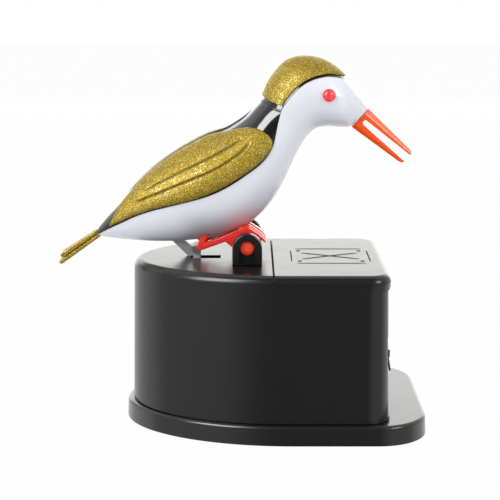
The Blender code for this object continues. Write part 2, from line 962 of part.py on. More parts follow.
def make_crank():
    """The bell crank with its hub, its long arm to the link and its short arm to the shuttle."""
    low_y, high_y = arm_y, arm_y + arm_thickness
    crank = rod(
        "bell_crank",
        (crank_centre.x, low_y, crank_centre.z),
        (0, 1, 0),
        crank_hub_radius,
        arm_thickness,
        dark_plastic,
        24,
    )
    for label, end in (("long", link_foot), ("short", drive_pin)):
        join(crank, prism_y(f"crank_{label}_arm", capsule(crank_centre, end, eye_radius), low_y, high_y))
    post_foot = (spring_eye.x, arm_mid_y, spring_eye.z)
    post_length = spring_post_reach + overrun / 2
    post = rod("spring_post", post_foot, (0, 1, 0), spring_post_radius, post_length, None, 12)
    join(crank, post)
    holes = (
        ("shaft", crank_centre, shaft_radius),
        ("link", link_foot, link_pin_radius),
        ("drive", drive_pin, drive_pin_radius),
    )
    for label, centre, radius in holes:
        foot = (centre.x, low_y - overrun, centre.z)
        length = arm_thickness + 2 * overrun
        cut(crank, rod(f"crank_{label}_hole", foot, (0, 1, 0), radius + pin_gap, length))
    return crank


def make_crank_pins():
    """The shaft with its two clips, the drive pin and the pin at the link's lower end."""
    foot = (crank_centre.x, -shaft_half_length, crank_centre.z)
    rod("crank_shaft", foot, (0, 1, 0), shaft_radius, 2 * shaft_half_length, steel, 20)
    for side, label in ((-1, "near"), (1, "far")):
        face = bracket_inner_y + bracket_wall + run_gap
        start = face if side > 0 else -face - clip_thickness
        foot = (crank_centre.x, start, crank_centre.z)
        clip = rod(f"shaft_clip_{label}", foot, (0, 1, 0), clip_radius, clip_thickness, steel, 16)
        foot = (crank_centre.x, start - overrun, crank_centre.z)
        bore = rod(
            f"shaft_clip_bore_{label}",
            foot,
            (0, 1, 0),
            shaft_radius + pin_gap,
            clip_thickness + 2 * overrun,
        )
        cut(clip, bore)
    reach = arm_thickness + drive_pin_radius + 2 * run_gap
    foot = (drive_pin.x, arm_y - reach, drive_pin.z)
    length = arm_thickness + 2 * reach
    rod("drive_pin", foot, (0, 1, 0), drive_pin_radius, length, steel, 16)
    pin_profile = [
        (pin_head_radius, 0.0),
        (pin_head_radius, pin_head),
        (link_pin_radius, pin_head),
        (link_pin_radius, pin_head + link_thickness + arm_thickness + arm_y + 3 * run_gap),
    ]
    for name, centre in (("lower_link_pin", link_foot), ("upper_link_pin", arm_pin)):
        foot = (centre.x, -link_thickness - run_gap - pin_head, centre.z)
        lathe(name, foot, (0, 1, 0), pin_profile, steel, 14)


def make_link():
    """The flat link that hangs from the bird's arm down through the deck."""
    low_y, high_y = -link_thickness, link_high_y
    link = prism_y("link_bar", capsule(link_foot, arm_pin, link_width / 2), low_y, high_y, grey_plastic)
    for label, centre in (("foot", link_foot), ("head", arm_pin)):
        eye = rod(
            f"link_{label}_eye",
            (centre.x, low_y, centre.z),
            (0, 1, 0),
            eye_radius,
            link_thickness,
        )
        join(link, eye)
        hole = rod(
            f"link_{label}_hole",
            (centre.x, low_y - overrun, centre.z),
            (0, 1, 0),
            link_pin_radius + pin_gap,
            link_thickness + 2 * overrun,
        )
        cut(link, hole)
    return link


def make_bracket():
    """The U-shaped stand that carries the crank's shaft and the lower end of the spring."""
    low_x, high_x = perch_x - bracket_back, perch_x + bracket_back
    floor_z = bracket_low_z + bracket_floor
    bracket = block(
        "crank_bracket",
        (low_x, -bracket_foot_y, bracket_low_z),
        (high_x, bracket_foot_y, floor_z),
        dark_plastic,
    )
    top_z = shuttle_low_z - yoke_low - bracket_top_gap
    tail_z = bracket_low_z + bracket_tail_height
    for side, label in ((-1, "near"), (1, "far")):
        outline = [(high_x, bracket_low_z), (high_x, top_z), (low_x, top_z)]
        if side > 0:
            outline += [(low_x, tail_z), (perch_x - bracket_tail, tail_z)]
            outline += [(perch_x - bracket_tail, bracket_low_z)]
        else:
            outline += [(low_x, bracket_low_z)]
        ys = sorted((side * bracket_inner_y, side * (bracket_inner_y + bracket_wall)))
        join(bracket, prism_y(f"bracket_side_{label}", outline, *ys))
        bore = rod(
            f"bracket_bore_{label}",
            (crank_centre.x, ys[0] - overrun / 2, crank_centre.z),
            (0, 1, 0),
            shaft_radius + pin_gap,
            bracket_wall + overrun,
        )
        cut(bracket, bore)
    anchor_foot = (spring_eye.x, bracket_inner_y + bracket_wall / 2, spring_anchor_z)
    anchor_length = bracket_inner_y + bracket_wall / 2 - spring_y + spring_post_radius
    anchor = rod("spring_anchor", anchor_foot, (0, -1, 0), spring_post_radius, anchor_length, None, 12)
    join(bracket, anchor)
    for i, (x, y) in enumerate(bracket_screw_places):
        hole = rod(
            f"bracket_screw_hole_{i + 1}",
            (x, y, base_top_z - overrun),
            (0, 0, 1),
            screw_hole_radius,
            bracket_floor + 2 * overrun,
        )
        cut(bracket, hole)
    return bracket


def make_spring():
    """The return spring: a coil between two hooks, as one wire from end to end."""
    hook = spring_post_radius + run_gap + wire_radius
    coil_height = spring_turns * spring_pitch
    middle = (spring_eye.z + spring_anchor_z) / 2
    points = []
    for i in range(7):
        angle = math.radians(180 + 180 * i / 6)
        points.append((hook * math.cos(angle), 0.0, spring_anchor_z + hook * math.sin(angle)))
    steps = 10 * spring_turns
    coil = []
    for i in range(steps + 1):
        angle = 2 * math.pi * i / 10
        height = middle - coil_height / 2 + coil_height * i / steps
        coil.append((spring_radius * math.cos(angle), spring_radius * math.sin(angle), height))
    points += coil
    for i in range(7):
        angle = math.radians(180 * i / 6)
        points.append((hook * math.cos(angle), 0.0, spring_eye.z + hook * math.sin(angle)))
    least = min(
        (Vector(coil[i]) - Vector(coil[j])).length
        for i in range(len(coil))
        for j in range(i + 6, len(coil))
    )
    print(f"return spring: least gap to itself {1000 * (least - 2 * wire_radius):.2f} mm")
    curve = bpy.data.curves.new("return_spring", "CURVE")
    curve.dimensions = "3D"
    curve.bevel_depth = wire_radius
    curve.bevel_resolution = 1
    curve.use_fill_caps = True
    spline = curve.splines.new("POLY")
    spline.points.add(len(points) - 1)
    for point, place in zip(spline.points, points):
        point.co = (spring_eye.x + place[0], spring_y + place[1], place[2], 1.0)
    curve.materials.append(steel)
    made = bpy.data.objects.new("return_spring", curve)
    bpy.context.scene.collection.objects.link(made)
    return made


def make_ears():
    """Two tombstone brackets with a recessed channel for the axle and a peg into the deck."""
    half = ear_width / 2
    low_z = lid_z + seat_gap
    for side, label in ((-1, "near"), (1, "far")):
        rings = []
        outer, inner = side * ear_outer_y, side * (ear_outer_y - ear_thickness)
        steps = (
            (ear_round, outer),
            (0.0, outer - side * ear_round),
            (0.0, inner + side * ear_round),
            (ear_round, inner),
        )
        for inset, y in steps:
            outline = [(perch_x + half - inset, low_z), ]
            outline += arc(perch_x, perch_z, half - inset, 0, 180, 12)
            outline += [(perch_x - half + inset, low_z)]
            rings.append([Vector((x, y, z)) for x, z in outline])
        ear = stack(f"pivot_ear_{label}", rings, black_plastic)
        channel = ear_channel_half_width
        outline = [(perch_x + channel, low_z + ear_sill)]
        outline += arc(perch_x, perch_z, channel, 0, 180, 10)
        outline += [(perch_x - channel, low_z + ear_sill)]
        ys = sorted((side * (ear_outer_y - ear_recess), side * (ear_outer_y + overrun)))
        recess = prism_y(f"ear_recess_{label}", outline, *ys)
        bore = rod(
            f"ear_bore_{label}",
            (perch_x, -overrun if side > 0 else -ear_outer_y - overrun, perch_z),
            (0, 1, 0),
            axle_radius + run_gap / 2,
            ear_outer_y + 2 * overrun,
            None,
            28,
        )
        peg_y = side * (ear_outer_y - ear_thickness / 2 - ear_round)
        peg_low = low_z - ear_peg_length
        peg = rod(f"ear_peg_{label}", (perch_x, peg_y, peg_low), (0, 0, 1), ear_peg_radius,
                  ear_peg_length + ear_sill / 2)
        pilot = rod(
            f"ear_pilot_{label}",
            (perch_x, peg_y, peg_low - overrun),
            (0, 0, 1),
            screw_pilot_radius - pin_gap,
            overrun + ear_peg_length - ear_round,
            None,
            14,
        )
        cut(ear, recess, bore)
        join(ear, peg)
        cut(ear, pilot)
        screw_place = (perch_x, peg_y, peg_low - seat_gap)
        screw(f"ear_screw_{label}", screw_place, (0, 0, 1), ear_peg_length - ear_round)


def make_screws():
    """Screws that hold the base to the box and the bracket to the base."""
    for i, (x, y) in enumerate(boss_places):
        head_z = foot_stand + base_screw_depth - seat_gap
        screw(f"base_screw_{i + 1}", (x, y, head_z), (0, 0, 1), screw_length)
    for i, (x, y) in enumerate(bracket_screw_places):
        head_z = bracket_low_z + bracket_floor + seat_gap
        screw(f"bracket_screw_{i + 1}", (x, y, head_z), (0, 0, -1), short_screw_length)


def blend_rows(rows, at):
    """A smooth value between the rows of a table, at a row number that may be a fraction."""
    last = len(rows) - 1
    i = min(max(int(math.floor(at)), 0), last - 1)
    t = at - i
    before, start, end, after = (rows[min(max(k, 0), last)] for k in (i - 1, i, i + 1, i + 2))
    values = []
    for p0, p1, p2, p3 in zip(before, start, end, after):
        values.append(
            0.5 * (2 * p1 + (p2 - p0) * t + (2 * p0 - 5 * p1 + 4 * p2 - p3) * t**2
                   + (3 * p1 - p0 - 3 * p2 + p3) * t**3)
        )
    return values


def bird_point(x_share, z_share):
    return Vector((tail_root_x + x_share * bird_length, 0.0, belly_z + z_share * bird_height))


def section(at):
    """Centre, direction from belly to back, half height and half width of one section."""
    back_x, back_z, belly_x, belly_z_share, width = blend_rows(bird_section_shares, at)
    back = bird_point(back_x, back_z)
    belly = bird_point(belly_x, belly_z_share)
    across = back - belly
    return (back + belly) / 2, across.normalized(), across.length / 2, width * bird_width / 2


def skin(at, angle, out):
    """A point on the bird: the angle runs from the belly over the near side to the back."""
    centre, across, half_height, half_width = section(at)
    up = across * (-math.cos(angle) * (half_height + out))
    side = Vector((0.0, -math.sin(angle) * (half_width + out), 0.0))
    return centre + up + side


def bird_loft(name, out, start, end, rings, sides, finish_material=None):
    """The bird's body from one section to another, moved out or in by a distance."""
    made = []
    for i in range(rings):
        at = start + (end - start) * i / (rings - 1)
        made.append([skin(at, 2 * math.pi * k / sides, out) for k in range(sides)])
    return stack(name, made, finish_material)


last_section = len(bird_section_shares) - 1


def split_points(rise):
    """The split line in X and Z, moved up across itself by a distance."""
    line = [bird_point(x, z) for x, z in split_line_shares]
    moved = []
    for i, point in enumerate(line):
        ahead = line[min(i + 1, len(line) - 1)] - line[max(i - 1, 0)]
        normal = Vector((-ahead.z, 0.0, ahead.x)).normalized()
        moved.append(point + normal * rise)
    return [(point.x, point.z) for point in moved]


def upper_zone(name, rise):
    """All that lies above the split line, as a prism right through the bird."""
    outline = split_points(rise)
    high = belly_z + bird_height + bird_width
    outline += [(outline[-1][0], high), (outline[0][0], high)]
    return prism_y(name, outline, -bird_width, bird_width)


def split_share(at, rise):
    """Where the split line, moved up by a distance, crosses a section: 0 belly, 1 back."""
    centre, across, half_height, _ = section(at)
    belly = centre - across * half_height
    line = split_points(rise)
    best = 1.0
    for (x0, z0), (x1, z1) in zip(line, line[1:]):
        dx, dz = x1 - x0, z1 - z0
        det = across.x * -dz + across.z * dx
        if abs(det) < 1e-12:
            continue
        rx, rz = x0 - belly.x, z0 - belly.z
        along = (rx * -dz + rz * dx) / det
        place = (across.x * rz - across.z * rx) / det
        if -0.001 <= place <= 1.001 and 0 <= along <= 2 * half_height:
            best = min(best, along / (2 * half_height))
    return best


def share_angle(share):
    return math.acos(max(-1.0, min(1.0, 1 - 2 * share)))


def patch(name, grid, finish_material):
    """A closed sheet through a grid of pairs of outer and inner points."""
    mesh_data = bmesh.new()
    rows, columns = len(grid), len(grid[0])
    outer = [[mesh_data.verts.new(pair[0]) for pair in row] for row in grid]
    inner = [[mesh_data.verts.new(pair[1]) for pair in row] for row in grid]
    for i in range(rows - 1):
        for k in range(columns - 1):
            for layer in (outer, inner):
                mesh_data.faces.new((layer[i][k], layer[i][k + 1], layer[i + 1][k + 1], layer[i + 1][k]))
    edge = [(0, k) for k in range(columns)]
    edge += [(i, columns - 1) for i in range(1, rows)]
    edge += [(rows - 1, k) for k in range(columns - 2, -1, -1)]
    edge += [(i, 0) for i in range(rows - 2, 0, -1)]
    for (i0, k0), (i1, k1) in zip(edge, edge[1:] + edge[:1]):
        mesh_data.faces.new((outer[i0][k0], outer[i1][k1], inner[i1][k1], inner[i0][k0]))
    return finish(name, mesh_data, finish_material)


def make_body():
    """The white shell of belly, breast and head, and the black shell of neck and back."""
    body = bird_loft("body_shell", 0.0, 0.0, last_section, 27, 24, white_plastic)
    hollow = bird_loft("body_hollow", -shell_wall, 0.7, last_section - 0.45, 16, 14)
    cut(body, hollow, upper_zone("body_upper_zone", 0.0))
    back = bird_loft("back_shell", 0.0, 0.0, last_section, 27, 24, gloss_black)
    back_hollow = bird_loft("back_hollow", -shell_wall, 0.7, last_section - 0.45, 16, 14)
    cut(back, back_hollow)
    keep(back, upper_zone("back_upper_zone", split_gap))
    root = beak_root()
    socket = rod(
        "beak_socket",
        root - beak_axis() * (beak_peg_length + overrun),
        beak_axis(),
        beak_peg_radius + pin_gap,
        beak_peg_length + 2 * overrun,
        None,
        16,
    )
    cut(body, socket)
    for side, label in ((-1, "near"), (1, "far")):
        place, normal = eye_seat(side)
        hole = rod(
            f"eye_hole_{label}",
            place - normal * (eye_stem_length + seat_gap),
            normal,
            eye_stem_radius + pin_gap,
            eye_stem_length + overrun,
            None,
            12,
        )
        cut(body, hole)
    return body, back


# The wing's outline: at each section its lower and upper edge, as shares of the way from
# belly to back. The ends close in a point behind and in a round shoulder in front.
wing_edge_shares = [
    (1.43, 0.588, 0.606),
    (1.70, 0.596, 0.722),
    (2.10, 0.600, 0.845),
    (2.50, 0.604, 0.935),
    (2.90, 0.602, 0.972),
    (3.40, 0.589, 0.980),
    (4.00, 0.556, 0.982),
    (4.70, 0.519, 0.982),
    (5.40, 0.510, 0.982),
    (6.10, 0.514, 0.980),
    (6.80, 0.517, 0.972),
    (7.50, 0.498, 0.940),
    (8.10, 0.472, 0.880),
    (8.55, 0.460, 0.795),
    (8.82, 0.462, 0.705),
    (8.97, 0.500, 0.600),
]
wing_columns = (0.0, 0.06, 0.19, 0.30, 0.335, 0.37, 0.45, 0.525, 0.56, 0.595, 0.78, 0.93, 1.0)
wing_grooves = (0.335, 0.56)


def table_value(rows, at):
    """Smooth values from a table whose first column rises."""
    i = 0
    while i < len(rows) - 2 and rows[i + 1][0] < at:
        i += 1
    share = (at - rows[i][0]) / (rows[i + 1][0] - rows[i][0])
    return blend_rows(rows, i + min(max(share, 0.0), 1.0))[1:]


def make_wings():
    """Two crowned gold wings with long feather grooves, raised from the black back."""
    rows = 19
    start, end = wing_edge_shares[0][0], wing_edge_shares[-1][0]
    for side, label in ((-1, "near"), (1, "far")):
        grid = []
        for i in range(rows):
            sweep = i / (rows - 1)
            at = start + (end - start) * (sweep + 0.11 * math.sin(2 * math.pi * (sweep - 0.5)) / 2)
            low_share, high_share = table_value(wing_edge_shares, at)
            low, high = share_angle(low_share), share_angle(high_share)
            line = []
            for v in wing_columns:
                angle = low + (high - low) * v
                along = max(0.0, min(1.0, 4 * sweep, 5 * (1 - sweep)))
                swell = wing_crown * math.sqrt(max(0.0, math.sin(math.pi * v)) * along)
                if v in wing_grooves and 1 < i < rows - 3:
                    swell -= feather_groove
                outer = skin(at, angle, seat_gap + wing_edge + swell)
                inner = skin(at, angle, seat_gap)
                if side > 0:
                    outer.y, inner.y = -outer.y, -inner.y
                line.append((outer, inner))
            grid.append(line)
        patch(f"wing_{label}", grid, gold_glitter)


crown_start = 10.05
crown_corner = 10.55
crown_tip = 15.1


def make_crown():
    """The gold cap over the crown of the head, edged by the black shell below it."""
    rows, half_columns = 13, 8
    grid = []
    for i in range(rows):
        u = i / (rows - 1)
        line = []
        for k in range(-half_columns, half_columns + 1):
            v = k / half_columns
            start = crown_start + (crown_corner - crown_start) * abs(v) ** 2
            at = start + (crown_tip - start) * u
            low = share_angle(min(0.995, split_share(at, split_gap + border)))
            reach = (math.pi - low) * abs(v)
            angle = math.pi - reach
            edge = min(1.0, 4 * u, 4 * (1 - u), 4 * (1 - abs(v)))
            rise = crown_edge + (crown_thickness - crown_edge) * max(0.0, edge) ** 0.5
            outer = skin(at, angle, seat_gap + rise)
            inner = skin(at, angle, seat_gap)
            if k > 0:
                outer.y, inner.y = -outer.y, -inner.y
            line.append((outer, inner))
        grid.append(line)
    patch("crown_cap", grid, gold_glitter)


def make_tail():
    """Two flat gold layers, wider towards the end, that leave the body at its tail root."""
    slope = math.radians(tail_slope_degrees)
    along = Vector((-math.cos(slope), 0.0, -math.sin(slope)))
    rise = Vector((-math.sin(slope), 0.0, math.cos(slope)))
    root = Vector((tail_root_x, 0.0, belly_z + tail_centre_rise))
    layers = (
        ("tail_upper", tail_upper_length, -tail_layer_gap, tail_layer, -tail_layer_end / 3, tail_layer_end),
        ("tail_lower", tail_length, -tail_layer_gap * 2 - tail_layer, tail_layer,
         -tail_layer_end / 3 - tail_layer_gap - tail_layer_end, tail_layer_end),
    )
    for name, length, low, thickness, low_end, thickness_end in layers:
        rings = []
        for share in (0.0, 0.35, 0.7, 0.93, 1.0):
            place = root + along * (length * share - tail_socket * (1 - share))
            half = (tail_root_width + (tail_end_width - tail_root_width) * share) / 2
            if share == 1.0:
                half *= 0.86
            base = low + (low_end - low) * share
            thick = thickness + (thickness_end - thickness) * share
            trim = thick / 4
            outline = [(-half, trim), (-half, thick - trim), (-half + trim, thick), (half - trim, thick),
                       (half, thick - trim), (half, trim), (half - trim, 0.0), (-half + trim, 0.0)]
            rings.append([place + rise * (base + z) + Vector((0.0, y, 0.0)) for y, z in outline])
        layer = stack(name, rings, gold_glitter)
        cut(layer, bird_loft(f"{name}_clearance", seat_gap, -seat_share, 4.0, 7, 16))


def beak_axis():
    drop = math.radians(beak_drop_degrees)
    return Vector((math.cos(drop), 0.0, -math.sin(drop)))


def beak_root():
    """Middle of the flat end of the head."""
    centre, _, _, _ = section(last_section)
    return centre + beak_axis() * seat_gap


def make_beak():
    """The forked beak: two tapering prongs round a slit that grips one pick."""
    axis = beak_axis()
    rise = Vector((-axis.z, 0.0, axis.x))
    root = beak_root()
    half_root = beak_root_height / 2
    tip_top = beak_lift + beak_slit_mouth / 2 + beak_prong_tip
    tip_low = beak_lift - beak_slit_mouth / 2 - beak_prong_tip
    shares = (0.0, 0.3, 0.65, 0.95, 1.0)
    rings = []
    for share in shares:
        half_width = (beak_root_width + (beak_tip_width - beak_root_width) * share) / 2
        top = half_root + (tip_top - half_root) * share
        low = -half_root + (tip_low + half_root) * share
        if share == 1.0:
            half_width *= 0.7
            top -= beak_prong_tip / 3
            low += beak_prong_tip / 3
        trim = half_width * 0.45
        outline = [(-half_width, low + trim), (-half_width, top - trim), (-half_width + trim, top),
                   (half_width - trim, top), (half_width, top - trim), (half_width, low + trim),
                   (half_width - trim, low), (-half_width + trim, low)]
        place = root + axis * (beak_length * share)
        rings.append([place + rise * z + Vector((0.0, y, 0.0)) for y, z in outline])
    beak = stack("beak", rings, orange_plastic)
    slit = []
    for degrees in range(90, 271, 30):
        angle = math.radians(degrees)
        along = beak_slit_start + beak_slit_root / 2 * (1 + math.cos(angle))
        slit.append((along, beak_slit_root / 2 * math.sin(angle)))
    reach = beak_length + overrun
    slit += [(reach, beak_lift - beak_slit_mouth / 2), (reach, beak_lift + beak_slit_mouth / 2)]
    rings = []
    for y in (-beak_root_width, beak_root_width):
        rings.append([root + axis * x + rise * z + Vector((0.0, y, 0.0)) for x, z in slit])
    peg_foot = root - axis * beak_peg_length
    peg_reach = beak_peg_length + beak_slit_start / 2
    peg = rod("beak_peg", peg_foot, axis, beak_peg_radius, peg_reach, None, 16)
    cut(beak, stack("beak_slit", rings))
    join(beak, peg)
    return beak


eye_section = 13.6
eye_share = 0.514


def eye_seat(side):
    """Place and outward normal of an eye on the head."""
    angle = share_angle(eye_share)
    place = skin(eye_section, angle, 0.0)
    step = 0.05
    along = skin(eye_section + step, angle, 0.0) - skin(eye_section - step, angle, 0.0)
    around = skin(eye_section, angle + step, 0.0) - skin(eye_section, angle - step, 0.0)
    normal = along.cross(around).normalized()
    if normal.y > 0:
        normal = -normal
    if side > 0:
        place = Vector((place.x, -place.y, place.z))
        normal = Vector((normal.x, -normal.y, normal.z))
    return place, normal


def make_eyes():
    """Red domes on stems that plug into the head."""
    for side, label in ((-1, "near"), (1, "far")):
        place, normal = eye_seat(side)
        profile = [(eye_stem_radius, -eye_stem_length), (eye_stem_radius, seat_gap * 2)]
        for degrees in (0, 25, 50, 72):
            angle = math.radians(degrees)
            profile.append((eye_ball_radius * math.cos(angle), seat_gap * 2 + eye_dome * math.sin(angle)))
        profile.append((eye_ball_radius / 20, seat_gap * 2 + eye_dome))
        lathe(f"eye_{label}", place, normal, profile, red_plastic, 16)


def make_legs():
    """Two red legs: thigh, heel, shank and a foot whose toes curl over the perch."""
    for side, label in ((-1, "near"), (1, "far")):
        clearance = bird_loft(f"leg_clearance_{label}", seat_gap, 0.0, last_section, 27, 24)
        middle = side * leg_y
        low_y, high_y = middle - leg_thickness / 2, middle + leg_thickness / 2
        heel_x, heel_z = perch_x - heel_back, perch_z - heel_drop
        notch_x = heel_x + thigh_width
        outline = [
            (heel_x, heel_z + heel_drop * 0.3),
            (heel_x + heel_drop * 0.3, heel_z),
            (heel_x + shank_width * 0.85, heel_z),
            (perch_x - foot_hub_radius * 1.75, perch_z + heel_drop * 0.4),
            (perch_x - foot_hub_radius * 1.2, perch_z - heel_drop * 0.5),
            (perch_x, perch_z - foot_hub_radius * 0.5),
            (perch_x, perch_z + toe_reach - toe_width / 3),
            (perch_x - foot_hub_radius * 0.6, perch_z + toe_reach * 0.79),
            (perch_x - foot_hub_radius * 2.45, perch_z + shank_width * 0.61),
            (notch_x, perch_z),
            (notch_x + thigh_lean, perch_z + thigh_rise),
            (heel_x + thigh_lean * 0.4, perch_z + thigh_rise),
        ]
        leg = prism_y(f"leg_{label}", outline, low_y, high_y, red_plastic)
        hub = rod(
            f"leg_hub_{label}",
            (perch_x, middle - foot_hub_width / 2, perch_z),
            (0, 1, 0),
            foot_hub_radius,
            foot_hub_width,
        )
        join(leg, hub)
        for k in (-1, 0, 1):
            outer = arc(perch_x, perch_z, toe_reach, 118, -2, 8)
            inner = arc(perch_x, perch_z, toe_root, 2, 125, 6)
            toe_y = middle + k * toe_spread
            half_toe = toe_width / 2
            toe = prism_y(f"toe_{label}_{k + 2}", outer + inner, toe_y - half_toe, toe_y + half_toe)
            join(leg, toe)
        bore = rod(
            f"leg_bore_{label}",
            (perch_x, middle - foot_hub_width, perch_z),
            (0, 1, 0),
            axle_radius + pin_gap,
            2 * foot_hub_width,
            None,
            28,
        )
        cut(leg, bore, clearance)


def make_axle():
    """The perch: a red rod through both feet, with slightly domed ends in the ears."""
    dome = ear_round
    profile = [
        (axle_radius - dome, 0.0),
        (axle_radius, dome),
        (axle_radius, 2 * axle_half_length - dome),
        (axle_radius - dome, 2 * axle_half_length),
    ]
    lathe("perch_axle", (perch_x, -axle_half_length, perch_z), (0, 1, 0), profile, red_plastic, 24)


def make_arm():
    """The grey arm below the belly: its eye carries the link and its foot rests on the deck."""
    foot_z = lid_z + seat_gap
    foot_x = arm_pin.x - arm_width / 2
    rise = belly_z + belly_drop + shell_wall - foot_z
    outline = [
        (foot_x - arm_width * 0.7, foot_z),
        (foot_x, foot_z),
        (arm_pin.x, arm_pin.z),
        (foot_x - arm_width * 0.7 + arm_width * 0.9 - rise * 0.55, foot_z + rise),
        (foot_x - arm_width * 1.4 - rise * 0.75, foot_z + rise),
    ]
    low_y, high_y = arm_y, arm_y + arm_thickness
    arm = prism_y("belly_arm", outline, low_y, high_y, grey_plastic)
    eye = rod("arm_eye", (arm_pin.x, low_y, arm_pin.z), (0, 1, 0), eye_radius, arm_thickness)
    hole = rod(
        "arm_hole",
        (arm_pin.x, low_y - overrun, arm_pin.z),
        (0, 1, 0),
        link_pin_radius + pin_gap,
        arm_thickness + 2 * overrun,
    )
    clearance = bird_loft("arm_clearance", seat_gap, 0.0, last_section, 27, 24)
    join(arm, eye)
    cut(arm, hole, clearance)


def hang(joint_name, place, names):
    """Parents pieces to an empty on their joint, without moving them."""
    empty = bpy.data.objects.new(joint_name, None)
    empty.empty_display_size = axle_radius
    empty.location = place
    bpy.context.scene.collection.objects.link(empty)
    for name in names:
        piece = bpy.data.objects[name]
        piece.parent = empty
        piece.matrix_parent_inverse = Matrix.Translation(-Vector(place))


make_base()
make_feet()
make_box()
make_lid()
make_hopper()
make_shuttle()
make_crank()
make_crank_pins()
make_link()
make_bracket()
make_spring()
make_ears()
make_screws()
make_body()
make_wings()
make_crown()
make_tail()
make_beak()
make_eyes()
make_legs()
make_axle()
make_arm()

bird_names = ["body_shell", "back_shell", "wing_near", "wing_far", "crown_cap", "tail_upper"]
bird_names += ["tail_lower", "beak", "eye_near", "eye_far", "leg_near", "leg_far"]
bird_names += ["perch_axle", "belly_arm", "upper_link_pin"]
crank_names = ["bell_crank", "crank_shaft", "shaft_clip_near", "shaft_clip_far"]
crank_names += ["drive_pin", "lower_link_pin"]
hang("bird_tilt_axis", perch, bird_names)
hang("link_swing_axis", arm_pin, ["link_bar"])
hang("crank_turn_axis", crank_centre, crank_names)
hang("shuttle_feed_axis", (groove_x, 0.0, shuttle_low_z), ["feed_shuttle"])
hang("lid_slide_axis", (seam_x, 0.0, lid_low_z), ["refill_lid"])
print(f"shuttle travel {1000 * shuttle_travel:.3f} mm, perch {perch_x:.4f} {perch_z:.4f}")
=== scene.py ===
# %% [markdown]
# # Dressing a toothpick dispenser with a tipping bird
#
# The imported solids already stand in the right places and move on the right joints. What
# they lack is finish: fine curves in place of facets, edges that catch the light, and
# plastics, glitter and paint. Each lesson below takes one piece of the dispenser, says what
# it is on the real thing, and models it with a few mesh operators.

import json
import math

import bmesh
import bpy
from mathutils import Matrix, Vector


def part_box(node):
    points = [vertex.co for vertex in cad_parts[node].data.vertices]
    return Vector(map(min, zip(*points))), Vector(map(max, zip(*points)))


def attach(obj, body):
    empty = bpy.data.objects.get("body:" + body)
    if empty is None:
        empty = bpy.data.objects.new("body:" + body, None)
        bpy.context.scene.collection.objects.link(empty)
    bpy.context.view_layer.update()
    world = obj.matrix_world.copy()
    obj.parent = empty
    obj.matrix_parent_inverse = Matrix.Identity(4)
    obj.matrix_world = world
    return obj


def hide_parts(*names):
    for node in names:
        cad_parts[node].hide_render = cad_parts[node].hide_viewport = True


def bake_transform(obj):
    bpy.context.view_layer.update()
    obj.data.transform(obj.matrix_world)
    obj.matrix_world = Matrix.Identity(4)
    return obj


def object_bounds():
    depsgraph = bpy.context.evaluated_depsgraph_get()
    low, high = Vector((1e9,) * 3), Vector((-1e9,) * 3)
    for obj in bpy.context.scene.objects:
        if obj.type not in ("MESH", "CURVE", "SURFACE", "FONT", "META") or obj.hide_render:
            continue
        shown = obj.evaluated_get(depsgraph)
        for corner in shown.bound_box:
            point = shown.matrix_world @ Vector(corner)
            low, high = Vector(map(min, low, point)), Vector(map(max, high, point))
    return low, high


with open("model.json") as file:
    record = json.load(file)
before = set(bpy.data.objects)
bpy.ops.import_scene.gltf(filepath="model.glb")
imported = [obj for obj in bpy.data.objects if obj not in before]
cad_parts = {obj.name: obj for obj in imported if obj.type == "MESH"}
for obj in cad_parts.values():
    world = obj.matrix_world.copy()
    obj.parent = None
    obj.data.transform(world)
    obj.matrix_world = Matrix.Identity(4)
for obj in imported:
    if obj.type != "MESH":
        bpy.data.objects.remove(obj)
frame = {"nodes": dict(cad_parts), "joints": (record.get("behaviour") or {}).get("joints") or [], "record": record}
cad_low, cad_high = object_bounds()
mm = 0.001
print("solids span", [round((b - a) / mm, 1) for a, b in zip(cad_low, cad_high)], "mm")

# %% [markdown]
# ## Driving places
#
# The main places come from the frame: two joints give the perch and the link pin, and the
# boxes round the solids give the plan of the housing and its heights.

# %% Places taken from the frame
joint_place = {j["name"]: Vector(j["pos_m"]) for j in frame["joints"] if "pos_m" in j}
perch = joint_place["bird_tilt"]
arm_pin = joint_place["link_swing"]
base_low, base_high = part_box("base_plate")
box_low, box_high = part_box("box_shell")
lid_low, lid_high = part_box("refill_lid")
deck_z = lid_high.z
floor_of_tray_z = base_high.z - 1.5 * mm
seat_gap = 0.3 * mm
print("deck", round(deck_z / mm, 2), "tray", round(floor_of_tray_z / mm, 2))

# %% [markdown]
# ## Shader maths as plain expressions
#
# A node tree is easier to read as a formula. `Value` wraps one socket and overloads the
# operators, so that `1 - mask * 0.5` adds its Math nodes by itself. `Finish.node` adds any
# other node: its settings first, and then what goes into its sockets.


# %% Values and finishes
class Value:
    """One number or colour that runs through a material's nodes."""

    def __init__(self, finish, socket):
        self.finish = finish
        self.socket = socket

    def maths(self, operation, *operands):
        return self.finish.node("ShaderNodeMath", {"operation": operation}, *operands)

    def __add__(self, other):
        return self.maths("ADD", self, other)

    def __radd__(self, other):
        return self.maths("ADD", other, self)

    def __sub__(self, other):
        return self.maths("SUBTRACT", self, other)

    def __rsub__(self, other):
        return self.maths("SUBTRACT", other, self)

    def __mul__(self, other):
        return self.maths("MULTIPLY", self, other)

    def __pow__(self, other):
        return self.maths("POWER", self, other)

    def __gt__(self, other):
        return self.maths("GREATER_THAN", self, other)

    def __lt__(self, other):
        return self.maths("LESS_THAN", self, other)


